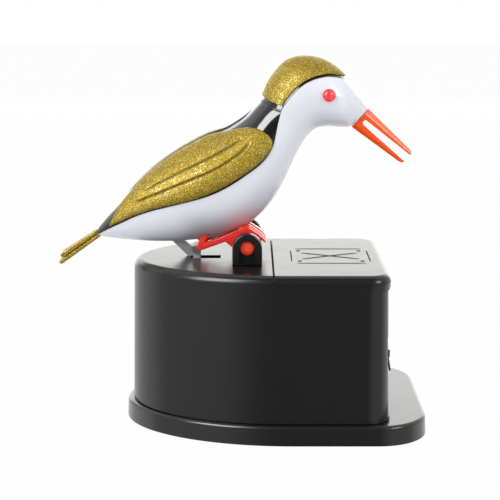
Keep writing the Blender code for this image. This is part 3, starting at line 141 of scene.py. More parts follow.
class Finish:
    """A material that is written as expressions."""

    def __init__(self, name, base_color=(0.5, 0.5, 0.5), **numbers):
        self.material = bpy.data.materials.new(name)
        self.material.use_nodes = True
        self.tree = self.material.node_tree
        self.shader = self.tree.nodes["Principled BSDF"]
        self.shader.inputs["Base Color"].default_value = (*base_color, 1.0)
        for socket, number in numbers.items():
            self.shader.inputs[socket.replace("_", " ")].default_value = number

    def node(self, kind, settings=None, *values, out=0, **named):
        made = self.tree.nodes.new(kind)
        for key, setting in (settings or {}).items():
            setattr(made, key, setting)
        for key, value in [*enumerate(values), *named.items()]:
            socket = made.inputs[key if isinstance(key, int) else key.replace("_", " ")]
            self.feed(socket, value)
        return Value(self, made.outputs[out])

    def feed(self, socket, value):
        if isinstance(value, Value):
            self.tree.links.new(value.socket, socket)
        else:
            socket.default_value = value

    def place(self):
        """Object coordinates."""
        return self.node("ShaderNodeTexCoord", out=3)

    def noise(self, size, detail=2.0):
        """Soft noise between 0 and 1 with patches of about one size in metres."""
        return self.node(
            "ShaderNodeTexNoise", None, Vector=self.place(), Scale=1 / size, Detail=detail
        )

    def vectors(self, operation, first, second):
        """Vector maths. A distance or a dot product comes out as a number."""
        out = 1 if operation in ("DISTANCE", "DOT_PRODUCT") else 0
        return self.node(
            "ShaderNodeVectorMath", {"operation": operation}, first, second, out=out
        )

    def parts_of(self, vector):
        """The three numbers of a vector."""
        first = self.node("ShaderNodeSeparateXYZ", None, vector)
        return [Value(self, output) for output in first.socket.node.outputs]

    def band(self, value, low, high):
        """A smooth rise from 0 to 1 between two values, or a fall if high comes first."""
        return self.node(
            "ShaderNodeMapRange", {"interpolation_type": "SMOOTHSTEP"}, value, low, high, 0.0, 1.0
        )

    def glow(self, strength):
        """Plain white light in place of the shader."""
        light = self.node("ShaderNodeEmission", None, Color=(1, 1, 1, 1), Strength=strength)
        self.tree.links.new(light.socket, self.tree.nodes["Material Output"].inputs["Surface"])
        return light

    def blend(self, share, first, second):
        """A mix of two colours."""
        made = self.tree.nodes.new("ShaderNodeMix")
        made.data_type = "RGBA"
        for index, value in ((0, share), (6, first), (7, second)):
            self.feed(made.inputs[index], (*value, 1.0) if isinstance(value, tuple) else value)
        return Value(self, made.outputs[2])

    def bump(self, height, distance, strength=1.0):
        return self.node(
            "ShaderNodeBump", None, Strength=strength, Distance=distance, Height=height
        )

    def set(self, **sockets):
        for socket, value in sockets.items():
            self.feed(self.shader.inputs[socket.replace("_", " ")], value)
        return self


# %% [markdown]
# ## Moulded black plastic
#
# The housing is satin black plastic. It has almost no colour of its own, so its looks come
# from two things: how sharply it mirrors the white room, and a faint unevenness left by the
# mould. Inside the lid's seam it is rough, so that the gap stays dark. The tray and the
# bird's black have a coat as well, which mirrors more sharply than the plastic below it.

# %% Black plastics
housing_black = Finish("housing_black", (0.011, 0.011, 0.0115))
cloud = housing_black.noise(9 * mm)
grain = housing_black.noise(0.35 * mm, 1.0)
along, _, height = housing_black.parts_of(housing_black.place())
seam_x, seam_gap, seam_drop = 11.95 * mm, 0.6 * mm, 1.2 * mm
beside_seam = 0.09 * mm
in_seam = (
    (along > seam_x - beside_seam)
    * (along < seam_x + seam_gap + beside_seam)
    * (height > deck_z - seam_drop - beside_seam)
)
housing_black.set(
    Roughness=0.2 + cloud * 0.08 + in_seam * 0.7,
    Normal=housing_black.bump(grain, 0.01 * mm, 0.35),
)

gloss_black = Finish(
    "gloss_black", (0.006, 0.006, 0.007), Coat_Weight=0.8, Coat_Roughness=0.05
)
gloss_black.set(Roughness=0.07 + gloss_black.noise(6 * mm) * 0.05)

tray_black = Finish(
    "tray_black", (0.011, 0.011, 0.0105), Coat_Weight=0.3, Coat_Roughness=0.1
)
tray_black.set(Roughness=0.2 + tray_black.noise(9 * mm) * 0.08)

inner_black = Finish("inner_black", (0.02, 0.02, 0.021))
inner_black.set(Roughness=0.42 + inner_black.noise(3 * mm) * 0.16)

rubber_black = Finish("rubber_black", (0.022, 0.022, 0.022), Roughness=0.85)
rubber_black.set(Normal=rubber_black.bump(rubber_black.noise(0.3 * mm), 0.05 * mm, 0.5))
print("black plastics ready")

# %% [markdown]
# ## White and grey plastic
#
# The bird's breast is white plastic that lets a little light in. Subsurface scattering does
# that at a small scale. Under the belly the white is darkened towards violet as painted shade,
# and beside the red legs it is tinted red as a painted glow thrown by them. The arm and link
# below are moulded in a pale grey.

# %% Pale plastics
white, painted_violet_shade, painted_red_glow = (0.83, 0.85, 0.935), (0.12, 0.07, 0.09), (0.9, 0.25, 0.27)
shell_white = Finish(
    "shell_white", white, Coat_Weight=0.25, Coat_Roughness=0.1, Subsurface_Weight=0.25,
    Subsurface_Radius=(0.8, 0.75, 1.0), Subsurface_Scale=2 * mm,
)
spot = shell_white.place()
along, _, height = shell_white.parts_of(spot)
# Painted shade: low under the belly, near the perch, the white is darkened towards violet.
shaded = (
    shell_white.band(along, -26 * mm, -13 * mm)
    * (1 - shell_white.band(along, 4 * mm, 22 * mm))
    * (1 - shell_white.band(height, 73 * mm, 86 * mm))
)
# Painted glow: near the red feet the white is tinted red, as if lit by the legs.
feet_spot = tuple(perch + Vector((-1, -9, 7)) * mm)
near_feet = 1 - shell_white.band(shell_white.vectors("DISTANCE", spot, feet_spot), mm, 15 * mm)
shade_share, glow_share = 0.5, 0.42
plain_white = shell_white.blend(shaded * shade_share, white, painted_violet_shade)
shell_white.set(
    Base_Color=shell_white.blend(near_feet * glow_share, plain_white, painted_red_glow),
    Roughness=0.26 + shell_white.noise(7 * mm) * 0.02,
)

link_grey = Finish("link_grey", (0.56, 0.56, 0.6))
link_grey.set(Roughness=0.26 + link_grey.noise(2 * mm) * 0.1)
print("pale plastics ready")

# %% [markdown]
# ## Red and orange plastic
#
# The legs, perch and eyes are tinted red and the beak orange. Both are clear enough to glow
# where the light passes through. A subsurface share imitates that, and a faint emission adds
# a painted glow of their own colour.


# %% Tinted plastics
def tinted(name, color, glow, coat, coat_roughness=0.03):
    """A clear tinted plastic: light enters it, and a faint emission paints a little glow on it."""
    made = Finish(
        name, color, Coat_Weight=coat, Coat_Roughness=coat_roughness, Subsurface_Weight=0.3,
        Subsurface_Radius=glow, Subsurface_Scale=1.5 * mm, Emission_Color=(*glow, 1.0),
        Emission_Strength=0.06,
    )
    return made.set(Roughness=0.14 + made.noise(2 * mm) * 0.1)


eye_color, axle_rim, axle_glow_orange = (1.0, 0.06, 0.07), (0.62, 0.02, 0.015), (0.88, 0.105, 0.018)
tint_red = tinted("tint_red", (0.92, 0.04, 0.025), (1.0, 0.05, 0.04), 0.6, 0.05)
tint_orange = tinted("tint_orange", (1.0, 0.1, 0.012), (1.0, 0.1, 0.01), 0.6, 0.12)
eye_red = tinted("eye_red", eye_color, (1.0, 0.05, 0.06), 1.0)
axle_red = tinted("axle_red", axle_rim, (1.0, 0.07, 0.02), 0.5)
# Painted shade: the eye's red darkens towards its rim, where the dome turns away from view.
turned_away = eye_red.node("ShaderNodeLayerWeight", None, 0.5, out=1)
eye_red.set(Base_Color=eye_red.blend(turned_away**3.0, eye_color, (0.3, 0.0, 0.01)))
# Painted glow: round its axis the rod is lighter orange than its deep red, which shows on its end faces.
flat_spot = axle_red.vectors("MULTIPLY", axle_red.place(), (1, 0, 1))
core_spot = (perch.x + 0.4 * mm, 0, perch.z + 0.3 * mm)
off_core = axle_red.vectors("DISTANCE", flat_spot, core_spot)
in_painted_glow = 1 - axle_red.band(off_core, 0.6 * mm, 2.6 * mm)
axle_red.set(Base_Color=axle_red.blend(in_painted_glow, axle_rim, axle_glow_orange))
print("tinted plastics ready")

# %% [markdown]
# ## Gold glitter
#
# The wings, crown and tail are sprayed with glitter in lacquer. Every flake is a tiny mirror
# with its own tilt. A Voronoi texture gives each flake its own random number, which picks how
# bright it is and tips its normal. The rarest flakes are painted near-white, as painted glints.
# A thin coat on top keeps one broad sheen over the sparkle.
# In the grooves of the wings, which are marked by a UV map, the gold is darkened as painted shade.

# %% Glitter
gold_glitter = Finish(
    "gold_glitter", (0.4, 0.27, 0.02), Metallic=0.95, Coat_Weight=0.08, Coat_Roughness=0.3
)
flake_size = 0.22 * mm
flake = gold_glitter.node(
    "ShaderNodeTexVoronoi", None, Vector=gold_glitter.place(), Scale=1 / flake_size, out=1
)
chance = gold_glitter.node("ShaderNodeSeparateColor", None, flake)
# Painted glints: the rarest flakes are coloured near-white, as if each caught a lamp.
spark = chance**14.0
dust = gold_glitter.noise(0.3 * mm, 2.0)
dull = gold_glitter.blend(dust, (0.045, 0.031, 0.001), (0.36, 0.255, 0.012))
lit = gold_glitter.blend(chance, dull, (0.56, 0.4, 0.03))
bright = gold_glitter.blend(spark, lit, (0.95, 0.9, 0.6))
# Painted shade: along the wing grooves the gold is darkened towards deep brown.
groove_uv = gold_glitter.node("ShaderNodeUVMap", {"uv_map": "groove"})
painted_groove_shade, groove_share = gold_glitter.parts_of(groove_uv)[0], 0.62
gold_glitter.set(
    Base_Color=gold_glitter.blend(painted_groove_shade * groove_share, bright, (0.05, 0.03, 0.003)),
    Normal=gold_glitter.bump(chance, 0.08 * mm, 0.3),
    Roughness=0.66 - spark * 0.36,
)
print("glitter flakes of", round(flake_size / mm, 2), "mm")

# %% [markdown]
# ## Steel
#
# Screws, pins and the spring are plain zinc-plated steel, a little uneven in roughness.

# %% Steel
plated_steel = Finish("plated_steel", (0.62, 0.62, 0.61), Metallic=1.0)
plated_steel.set(Roughness=0.24 + plated_steel.noise(1 * mm, 3.0) * 0.16)
print("steel ready")

# %% [markdown]
# ## From a bmesh to a piece
#
# A finished piece is one closed mesh that sits at the origin, with its place in its vertices.
# It rides on a body of the frame, may stand for a solid, and takes a finish. Weighted normals
# keep flat faces flat where they meet a rounded edge.


# %% Helpers for pieces
def settle(bm):
    """Merges doubles and turns all faces outwards."""
    bmesh.ops.remove_doubles(bm, verts=bm.verts, dist=0.002 * mm)
    bmesh.ops.recalc_face_normals(bm, faces=bm.faces)
    return bm


def shape(name, bm):
    """An object made from a bmesh."""
    mesh = bpy.data.meshes.new(name)
    settle(bm).to_mesh(mesh)
    bm.free()
    made = bpy.data.objects.new(name, mesh)
    bpy.context.scene.collection.objects.link(made)
    return made


def combine(target, tool, operation="DIFFERENCE"):
    """Cuts, joins or keeps a piece by another shape or bmesh, which is used up."""
    if isinstance(tool, bmesh.types.BMesh):
        tool = shape("tool", tool)
    step = target.modifiers.new(operation.lower(), "BOOLEAN")
    step.operation = operation
    step.object = tool
    graph = bpy.context.evaluated_depsgraph_get()
    mesh = bpy.data.meshes.new_from_object(target.evaluated_get(graph))
    target.modifiers.clear()
    target.data = mesh
    bpy.data.objects.remove(tool)


def add_to(bm, part):
    """Adds one settled bmesh to another and uses it up."""
    made = shape("part", part)
    bm.from_mesh(made.data)
    bpy.data.objects.remove(made)


def dress(piece, finish, body, slot, *nodes, sharp=35, weighted=False):
    """Gives a piece its finish, its body and the solids that it stands for; the slot is not used."""
    piece.data.materials.clear()
    piece.data.materials.append(finish.material)
    piece.data.shade_smooth()
    piece.data.set_sharp_from_angle(angle=math.radians(sharp))
    if weighted:
        step = piece.modifiers.new("even normals", "WEIGHTED_NORMAL")
        step.keep_sharp = True
    if body:
        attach(piece, body)
    if nodes:
        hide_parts(*nodes)
    print(f"{piece.name}: {len(piece.data.polygons)} faces on {body}")


def block(low, high, edge=0.0):
    """A box between two corners, with its edges rounded if asked."""
    low, high = Vector(low), Vector(high)
    bm = bmesh.new()
    bmesh.ops.create_cube(bm, size=1.0)
    bmesh.ops.scale(bm, vec=high - low, verts=bm.verts)
    bmesh.ops.translate(bm, vec=(low + high) / 2, verts=bm.verts)
    if edge:
        soften(bm, bm.edges, edge)
    return bm


def soften(bm, edges, radius, segments=3):
    """Rounds edges."""
    bmesh.ops.bevel(
        bm, geom=list(edges), offset=radius, segments=segments, profile=0.5, affect="EDGES",
        material=-1, clamp_overlap=True,
    )


def plate(outline, thickness, y, edge=0.0):
    """An outline in X and Z, extruded along Y from y, with its rims rounded if asked."""
    bm = bmesh.new()
    corners = [bm.verts.new((x, y, z)) for x, z in outline]
    face = bm.faces.new(corners)
    grown = bmesh.ops.extrude_face_region(bm, geom=[face])["geom"]
    moved = [v for v in grown if isinstance(v, bmesh.types.BMVert)]
    bmesh.ops.translate(bm, vec=(0, thickness, 0), verts=moved)
    settle(bm)
    if edge:
        rims = [e for e in bm.edges if abs(e.verts[0].co.y - e.verts[1].co.y) < seat_gap]
        soften(bm, rims, edge)
    return bm


def turned(profile, foot, axis, steps=48):
    """A lathe shape: pairs of radius and height, spun round an axis that starts at foot."""
    bm = bmesh.new()
    points = [bm.verts.new((radius, 0, height)) for radius, height in profile]
    edges = [bm.edges.new(pair) for pair in zip(points, points[1:])]
    bmesh.ops.spin(
        bm, geom=points + edges, axis=(0, 0, 1), cent=(0, 0, 0), angle=2 * math.pi, steps=steps,
        use_merge=True,
    )
    bmesh.ops.remove_doubles(bm, verts=bm.verts, dist=0.001 * mm)
    turn = Vector(axis).to_track_quat("Z", "Y").to_matrix()
    bmesh.ops.rotate(bm, cent=(0, 0, 0), matrix=turn, verts=bm.verts)
    bmesh.ops.translate(bm, vec=foot, verts=bm.verts)
    open_rims = [e for e in bm.edges if e.is_boundary]
    if open_rims:
        bmesh.ops.holes_fill(bm, edges=open_rims)
    return bm


def mirrored(half_profile, length):
    """A profile of a turned bar whose two ends are the same."""
    return half_profile + [(r, length - h) for r, h in reversed(half_profile)]


def bar_profile(radius, length, edge=0.0):
    """The profile of a plain round bar, with its rims cut off if asked."""
    rim = [(radius - edge, 0), (radius, edge)] if edge else [(radius, 0)]
    return mirrored([(0, 0), *rim], length)


def stack(rings):
    """A closed form through rings of points, bridged one after another."""
    bm = bmesh.new()
    edges = []
    for i, ring in enumerate(rings):
        corners = [bm.verts.new(point) for point in ring]
        edges += [bm.edges.new(pair) for pair in zip(corners, corners[1:] + corners[:1])]
        if i in (0, len(rings) - 1):
            bm.faces.new(corners)
    bmesh.ops.bridge_loops(bm, edges=edges)
    return bm


def tube(points, radius, sides=16):
    """A round wire along points that lie in order."""
    rings = []
    for i, point in enumerate(points):
        ahead = points[min(i + 1, len(points) - 1)] - points[max(i - 1, 0)]
        side = ahead.cross(Vector((0.02, 1, 0.05))).normalized()
        other = ahead.cross(side).normalized()
        angles = [2 * math.pi * k / sides for k in range(sides)]
        rings.append(
            [point + (side * math.cos(a) + other * math.sin(a)) * radius for a in angles]
        )
    return stack(rings)


# %% [markdown]
# ## The D-shaped plan
#
# Box, lid and base share one plan: half an ellipse behind, straight sides, and two round
# corners in front. A vertex spun through half a turn and squashed gives the ellipse, two more
# vertices give the front, and a vertex bevel rounds them. Insetting the face and lifting it at
# the same time then makes drafted walls and the rounded rim, ring by ring.


# %% The D plan and what rises from it
def d_face(low, high, rear_depth, corner, inset, z, rear_steps=72):
    """The plan as one face at a height, pulled in by an inset."""
    back, front, half = low.x + inset, high.x - inset, high.y - inset
    depth, radius = rear_depth - inset, corner - inset
    bm = bmesh.new()
    first = bm.verts.new((0, half, 0))
    bmesh.ops.spin(
        bm, geom=[first], axis=(0, 0, 1), cent=(0, 0, 0), angle=math.pi, steps=rear_steps
    )
    bmesh.ops.scale(bm, vec=(depth / half, 1, 1), verts=bm.verts)
    bmesh.ops.translate(bm, vec=(back + depth, 0, z), verts=bm.verts)
    last = min(bm.verts, key=lambda v: v.co.y)
    front_corners = [bm.verts.new((front, side * half, z)) for side in (-1, 1)]
    bm.edges.new((last, front_corners[0]))
    bm.edges.new(front_corners)
    bm.edges.new((front_corners[1], first))
    bmesh.ops.contextual_create(bm, geom=list(bm.edges))
    bmesh.ops.bevel(
        bm, geom=front_corners, offset=radius, segments=18, profile=0.5, affect="VERTICES",
        material=-1, clamp_overlap=False,
    )
    return bm


def d_solid(low, high, rear_depth, corner, inset, z0, z1, draft=0.0, rim=0.0, rim_steps=7):
    """A closed solid over the D plan, drafted by a share, with a rounded upper rim."""
    bm = d_face(low, high, rear_depth, corner, inset, z0)
    bmesh.ops.recalc_face_normals(bm, faces=bm.faces)
    top = bm.faces[:][0]
    if top.normal.z < 0:
        top.normal_flip()
    bottom = bmesh.ops.duplicate(bm, geom=[top])["geom"]
    for item in bottom:
        if isinstance(item, bmesh.types.BMFace):
            item.normal_flip()
    wall = z1 - z0 - rim
    steps = [(wall * draft, wall)]
    for i in range(rim_steps):
        a, b = (math.pi / 2 * k / rim_steps for k in (i, i + 1))
        steps.append((rim * (math.cos(a) - math.cos(b)), rim * (math.sin(b) - math.sin(a))))
    for inward, upward in steps if rim else steps[:1]:
        grown = bmesh.ops.extrude_face_region(bm, geom=[top])["geom"]
        bm.faces.remove(top)
        top = next(item for item in grown if isinstance(item, bmesh.types.BMFace))
        pull_in(top, inward, upward)
    return bm


def pull_in(face, inward, upward):
    """Moves a face's rim in by a distance, square to the rim, and up."""
    corners = [v.co.copy() for v in face.verts]
    count = len(corners)
    for i, vert in enumerate(face.verts):
        along = (corners[(i + 1) % count] - corners[i - 1]).normalized()
        vert.co = corners[i] + Vector((-along.y, along.x, 0)) * inward + Vector((0, 0, upward))


box_rear_depth, box_corner, draft = 58.2 * mm, 8.8 * mm, 0.0175
rim_radius = 3 * mm
box_plan = (Vector((box_low.x, box_low.y, 0)), Vector((box_high.x, box_high.y, 0)))
print("box plan", [round(v / mm, 2) for v in (box_low.x, box_high.x, box_high.y)])

# %% [markdown]
# ## Base plate
#
# The base is a shallow tray turned upside down: a rounded rim outside, hollow below, with
# foot cups and ribs underneath. The rim's round edge draws the thin bright line that runs
# round the foot of the box.

# %% Base plate
base_rear_depth, base_corner, base_edge = 64 * mm, 19.3 * mm, 1.4 * mm
base_wall, base_skin, base_draft = 2.4 * mm, 2.2 * mm, 0.04
base_plan = (base_low, Vector((base_high.x, base_high.y, 0)))
base_form = (*base_plan, base_rear_depth, base_corner)
skin_z = floor_of_tray_z - base_skin
base = shape(
    "tray_base", d_solid(*base_form, 0.0, base_low.z, floor_of_tray_z, base_draft, base_edge)
)
combine(base, d_solid(*base_form, base_wall, base_low.z - mm, skin_z))
dress(base, tray_black, "box", "black_plastic", "base_plate", weighted=True)

# %% [markdown]
# The ribs and cups below the skin keep a thin plate from warping. They are hidden in use, and
# plain blocks and rings are all that they need.

# %% Ribs and cups below the base
rib_bm = bmesh.new()
rib_depth, rib_width, rib_step, cup_wall = 2.6 * mm, 1.6 * mm, 22 * mm, 1.4 * mm
ribs = [((base_low.x + base_wall, -rib_width / 2), (base_high.x - base_wall, rib_width / 2))]
for i in range(3):
    x = base_high.x - base_corner - i * rib_step
    reach = base_high.y - base_wall
    ribs.append(((x - rib_width / 2, -reach), (x + rib_width / 2, reach)))
for low, high in ribs:
    add_to(rib_bm, block((*low, skin_z - rib_depth), (*high, skin_z + base_skin / 2), 0.2 * mm))
for i in range(1, 5):
    foot_low, foot_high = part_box(f"rubber_foot_{i}")
    middle = (foot_low + foot_high) / 2
    inside = foot_high.x - middle.x + seat_gap
    outside = inside + cup_wall
    profile = [
        (inside, skin_z), (inside, base_low.z), (outside, base_low.z), (outside, skin_z)
    ]
    add_to(rib_bm, turned(profile, (middle.x, middle.y, 0), (0, 0, 1), 32))
dress(shape("base_ribs", rib_bm), housing_black, "box", "black_plastic")

# %% [markdown]
# ## Box
#
# The box is one drafted shell with a 3 mm round at the top. It is made as a full solid and
# then emptied. The deck keeps a narrow slot for the link, the front wall keeps the outlet,
# and everything in front of the seam is left open for the lid.

# %% Box shell
wall, deck_thickness = 2 * mm, 2 * mm
box_foot_z = box_low.z
far = 200 * mm
far_corner = (far, far, far)
lid_thickness, under_deck_x = 3 * mm, seam_x + 0.45 * mm
ledge_z = deck_z - lid_thickness - seat_gap


def box_form(longer=0.0, wider=0.0):
    """The box's full outside, with its front and sides moved out by two distances."""
    plan = (box_plan[0], box_plan[1] + Vector((longer, wider, 0)))
    return d_solid(
        *plan, box_rear_depth, box_corner, 0.0, box_foot_z, deck_z, draft, rim_radius
    )


def box_core(longer, inset, z0, z1, slope=0.0):
    """The box's plan as a column between two heights."""
    plan = (box_plan[0], box_plan[1] + Vector((longer, 0, 0)))
    return d_solid(*plan, box_rear_depth, box_corner, inset, z0, z1, slope)


box = shape("box_housing", box_form())
combine(box, box_core(0.0, wall, box_foot_z - mm, deck_z - deck_thickness, draft))
combine(box, block((under_deck_x, -far, ledge_z), far_corner))
combine(box, block((seam_x, -far, deck_z - seam_drop), far_corner))

lip_drop, lip_gap, lip_depth = 5.6 * mm, 0.75 * mm, 5 * mm
top_inset = (deck_z - box_foot_z) * draft
lip_half = box_high.y - top_inset - box_corner
lip_room_z = deck_z - lip_drop - seat_gap
lip_room = shape(
    "lip_room", block((box_high.x - lip_depth, -lip_half - lip_gap, lip_room_z), far_corner)
)
combine(lip_room, box_core(-lip_gap, top_inset, deck_z - 4 * lip_drop, deck_z + mm))
combine(box, lip_room)
print("box shell hollowed:", len(box.data.polygons), "faces")

# %% [markdown]
# Below the lip the front wall stands half a millimetre further in, and a low bead at its foot
# keeps the full length.

# %% Front wall
wall_step, bead_height, hair = 0.5 * mm, 1.2 * mm, 0.02 * mm
set_back = shape(
    "set_back",
    block((box_high.x - box_corner, -far, box_foot_z + bead_height), (far, far, lip_room_z)),
)
combine(set_back, box_form(-wall_step, hair))
combine(box, set_back)
print("front wall set back by", round(wall_step / mm, 2), "mm")

# %% [markdown]
# The outlet is a window in the front wall, as wide as a toothpick is long. The deck slot is
# as long as the link's sweep.

# %% Outlet, deck slot and a way out for the lid's tongue
outlet_low_z, outlet_high_z, outlet_half = 23.5 * mm, 39.6 * mm, 33.5 * mm
through_wall = 8 * mm
combine(box, block(
    (box_high.x - through_wall, -outlet_half, outlet_low_z), (far, outlet_half, outlet_high_z)
))
sweep = math.hypot(perch.x - arm_pin.x, perch.z - arm_pin.z)
start_angle = math.atan2(perch.z - arm_pin.z, perch.x - arm_pin.x)
last_angle = start_angle - math.radians(62)
slot_rear = perch.x - sweep - 2.1 * mm
slot_front = perch.x - sweep * math.cos(last_angle) + 1.7 * mm
slot_low_y, slot_high_y = -4.5 * mm, 1.5 * mm
combine(box, block(
    (slot_rear, slot_low_y, deck_z - through_wall), (slot_front, slot_high_y, far)
))
tongue_half = 33.83 * mm
combine(box, block(
    (lid_low.x - seat_gap, tongue_half + mm, ledge_z), (seam_x + mm, far, deck_z - deck_thickness)
))
dress(box, housing_black, "box", "black_plastic", "box_shell", weighted=True)

# %% [markdown]
# ## Refill lid
#
# The lid carries the box's outline and its rounded rim forward from the seam, so it comes
# from the same solid. A lip hangs down over the flat of the front wall, and a tongue reaches
# under the deck behind. Both guide it when it is pushed out sideways for a refill.

# %% Refill lid
lid_proud, lip_thickness, overlap = 0.45 * mm, 0.9 * mm, 0.7 * mm
lid_foot_z = ledge_z + 0.12 * mm
lid = shape("sliding_lid", box_form(lid_proud))
combine(lid, block((seam_x + seam_gap, -far, lid_foot_z), far_corner), "INTERSECT")
lip_top = deck_z - lid_thickness + overlap
lip = shape("lip", box_core(lid_proud, top_inset, deck_z - lip_drop, lip_top))
combine(lip, box_core(lid_proud - lip_thickness, top_inset, deck_z - 4 * lip_drop, far))
lip_zone = block((box_high.x - lip_depth + 0.2 * mm, -lip_half, 0), (far, lip_half, far))
combine(lip, lip_zone, "INTERSECT")
combine(lid, lip, "UNION")
tongue = block(
    (lid_low.x, -tongue_half, deck_z - lid_thickness),
    (seam_x + 1.5 * mm, tongue_half, deck_z - deck_thickness - seat_gap),
)
combine(lid, tongue, "UNION")
dress(lid, housing_black, "lid", "black_plastic", "refill_lid", weighted=True)

# %% [markdown]
# ## Marks on the lid
#
# The lid carries a plain decoration in thin raised black lines: two crossed picks in a frame
# of four strokes, with four dots. Each stroke is a low block, so that all of it stays crisp.

# %% Marks on the lid
mark_black = Finish("mark_black", (0.008, 0.008, 0.008))
mark_black.set(Roughness=0.7 + mark_black.noise(mm) * 0.2)
mark_foot, mark_top = deck_z - 0.05 * mm, deck_z + 0.1 * mm
mark_middle = Vector(((lid_low.x + lid_high.x) / 2 + 2 * mm, 0, (mark_foot + mark_top) / 2))
marks_bm = bmesh.new()


def add_stroke(length, width, turn, place):
    """A low bar that thins to a point at both ends, turned in plan."""
    half, end, shoulder, side = (mark_top - mark_foot) / 2, length / 2, length / 2.6, width / 2
    profile = [
        (-end, 0), (-shoulder, side), (shoulder, side), (end, 0), (shoulder, -side),
        (-shoulder, -side),
    ]
    bm = bmesh.new()
    for z in (-half, half):
        corners = [bm.verts.new((x, y, z)) for x, y in profile]
        bm.faces.new(corners)
    bmesh.ops.bridge_loops(bm, edges=bm.edges)
    bmesh.ops.transform(
        bm, matrix=Matrix.Translation(place) @ Matrix.Rotation(turn, 4, "Z"), verts=bm.verts
    )
    add_to(marks_bm, bm)


for turn in (-0.5, 0.5):
    add_stroke(25 * mm, 0.85 * mm, turn, mark_middle)
for x, y, length, turn in (
    (0, 14, 26, 0), (0, -14, 26, 0), (15, 0, 22, math.pi / 2), (-15, 0, 22, math.pi / 2)
):
    add_stroke(length * mm, 0.5 * mm, turn, mark_middle + Vector((x, y, 0)) * mm)
dot_radius, dot_height = 0.8 * mm, mark_top - mark_foot
dot = bar_profile(dot_radius, dot_height)
for x in (-12, 12):
    for y in (-10, 10):
        place = (mark_middle.x + x * mm, y * mm, mark_foot)
        add_to(marks_bm, turned(dot, place, (0, 0, 1), 20))
dress(shape("lid_marks", marks_bm), mark_black, "lid", "black_plastic")

# %% [markdown]
# ## Pivot ears
#
# Two tombstone plates stand on the deck and carry the perch. Each has a recessed channel, so
# that the axle can be dropped in from below the rim. The outline is an arc on two straight
# legs, extruded and rounded along both rims.


# %% Pivot ears
def arch(centre, radius, foot_z, steps=28):
    """The outline of a tombstone in X and Z."""
    points = [(centre.x + radius, foot_z)]
    for i in range(steps + 1):
        angle = math.pi * i / steps
        points.append((centre.x + radius * math.cos(angle), centre.z + radius * math.sin(angle)))
    return points + [(centre.x - radius, foot_z)]


ear_edge, bore_radius = 0.7 * mm, 2.85 * mm
channel_half, channel_foot, channel_depth = 3 * mm, mm, 2.2 * mm
for label in ("near", "far"):
    node = f"pivot_ear_{label}"
    low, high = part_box(node)
    side = -1 if low.y < 0 else 1
    outer = max(abs(low.y), abs(high.y))
    outline = arch(perch, (high.x - low.x) / 2, deck_z + hair)
    ear = shape(f"ear_{label}", plate(outline, high.y - low.y, low.y, ear_edge))
    channel_y = -outer - mm if side < 0 else outer - channel_depth
    outline = arch(perch, channel_half, deck_z + channel_foot)
    combine(ear, plate(outline, channel_depth + mm, channel_y))
    profile = [(bore_radius, 0), (bore_radius, outer)]
    combine(ear, turned(profile, (perch.x, 0, perch.z), (0, side, 0), 40))
    dress(ear, housing_black, "box", "black_plastic", node, weighted=True)

# %% [markdown]
# ## Perch axle
#
# A red rod runs through both feet and ends in the ears with softly domed faces. Half of its
# profile is drawn, mirrored and then spun.

# %% Perch axle
axle_low, axle_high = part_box("perch_axle")
radius = (axle_high.z - axle_low.z) / 2
length = axle_high.y - axle_low.y
dome = 0.6 * mm
profile = [(0, 0)]
for i in range(6):
    angle = math.pi / 2 * i / 5
    profile.append((radius - dome + dome * math.sin(angle), dome * (1 - math.cos(angle))))
axle_foot = (perch.x, axle_low.y, perch.z)
axle = shape("perch_rod", turned(mirrored(profile, length), axle_foot, (0, 1, 0), 56))
dress(axle, axle_red, "bird", "red_plastic", "perch_axle")

# %% [markdown]
# ## The bird's form
#
# The bird is a loft. Each section is an oval between a point on the belly and one on the
# back, given as shares of the bird's length and height, with a width. A smooth curve through
# the rows fills in as many sections as the surface needs, and one function, `skin`, then
# gives any point on the surface, or a little above it.

# %% Sections of the loft
bird_length, bird_height, bird_width = 103.2 * mm, 70 * mm, 36 * mm
tail_root = Vector((perch.x - 57.25 * mm, 0, perch.z - 0.3 * mm))
section_shares = [
    (-0.005, 0.075, -0.002, 0.030, 0.180),
    (0.024, 0.130, 0.032, 0.021, 0.333),
    (0.060, 0.189, 0.095, 0.011, 0.500),
    (0.122, 0.286, 0.192, 0.001, 0.694),
    (0.211, 0.404, 0.308, 0.003, 0.861),
    (0.308, 0.504, 0.424, 0.023, 0.972),
    (0.405, 0.581, 0.531, 0.070, 1.000),
    (0.483, 0.624, 0.619, 0.176, 0.944),
    (0.538, 0.676, 0.677, 0.299, 0.833),
    (0.574, 0.729, 0.719, 0.430, 0.736),
    (0.612, 0.793, 0.758, 0.543, 0.667),
    (0.645, 0.883, 0.800, 0.616, 0.681),
    (0.703, 0.976, 0.838, 0.633, 0.708),
    (0.773, 0.999, 0.867, 0.634, 0.722),
    (0.846, 0.974, 0.891, 0.631, 0.694),
    (0.908, 0.910, 0.910, 0.630, 0.611),
    (0.958, 0.821, 0.925, 0.630, 0.472),
    (1.000, 0.737, 0.935, 0.633, 0.264),
]
last_section = len(section_shares) - 1
print("loft through", len(section_shares), "sections")


# %% Points on the bird's skin
def between_rows(rows, at):
    """A smooth value between the rows of a table, at a row number that may be a fraction."""
    last = len(rows) - 1
    i = min(max(int(math.floor(at)), 0), last - 1)
    t = at - i
    p = [rows[min(max(k, 0), last)] for k in (i - 1, i, i + 1, i + 2)]
    return [
        b + 0.5 * t * (c - a + t * (2 * a - 5 * b + 4 * c - d + t * (3 * b - a - 3 * c + d)))
        for a, b, c, d in zip(*p)
    ]


def bird_point(x_share, z_share):
    return tail_root + Vector((x_share * bird_length, 0, z_share * bird_height))


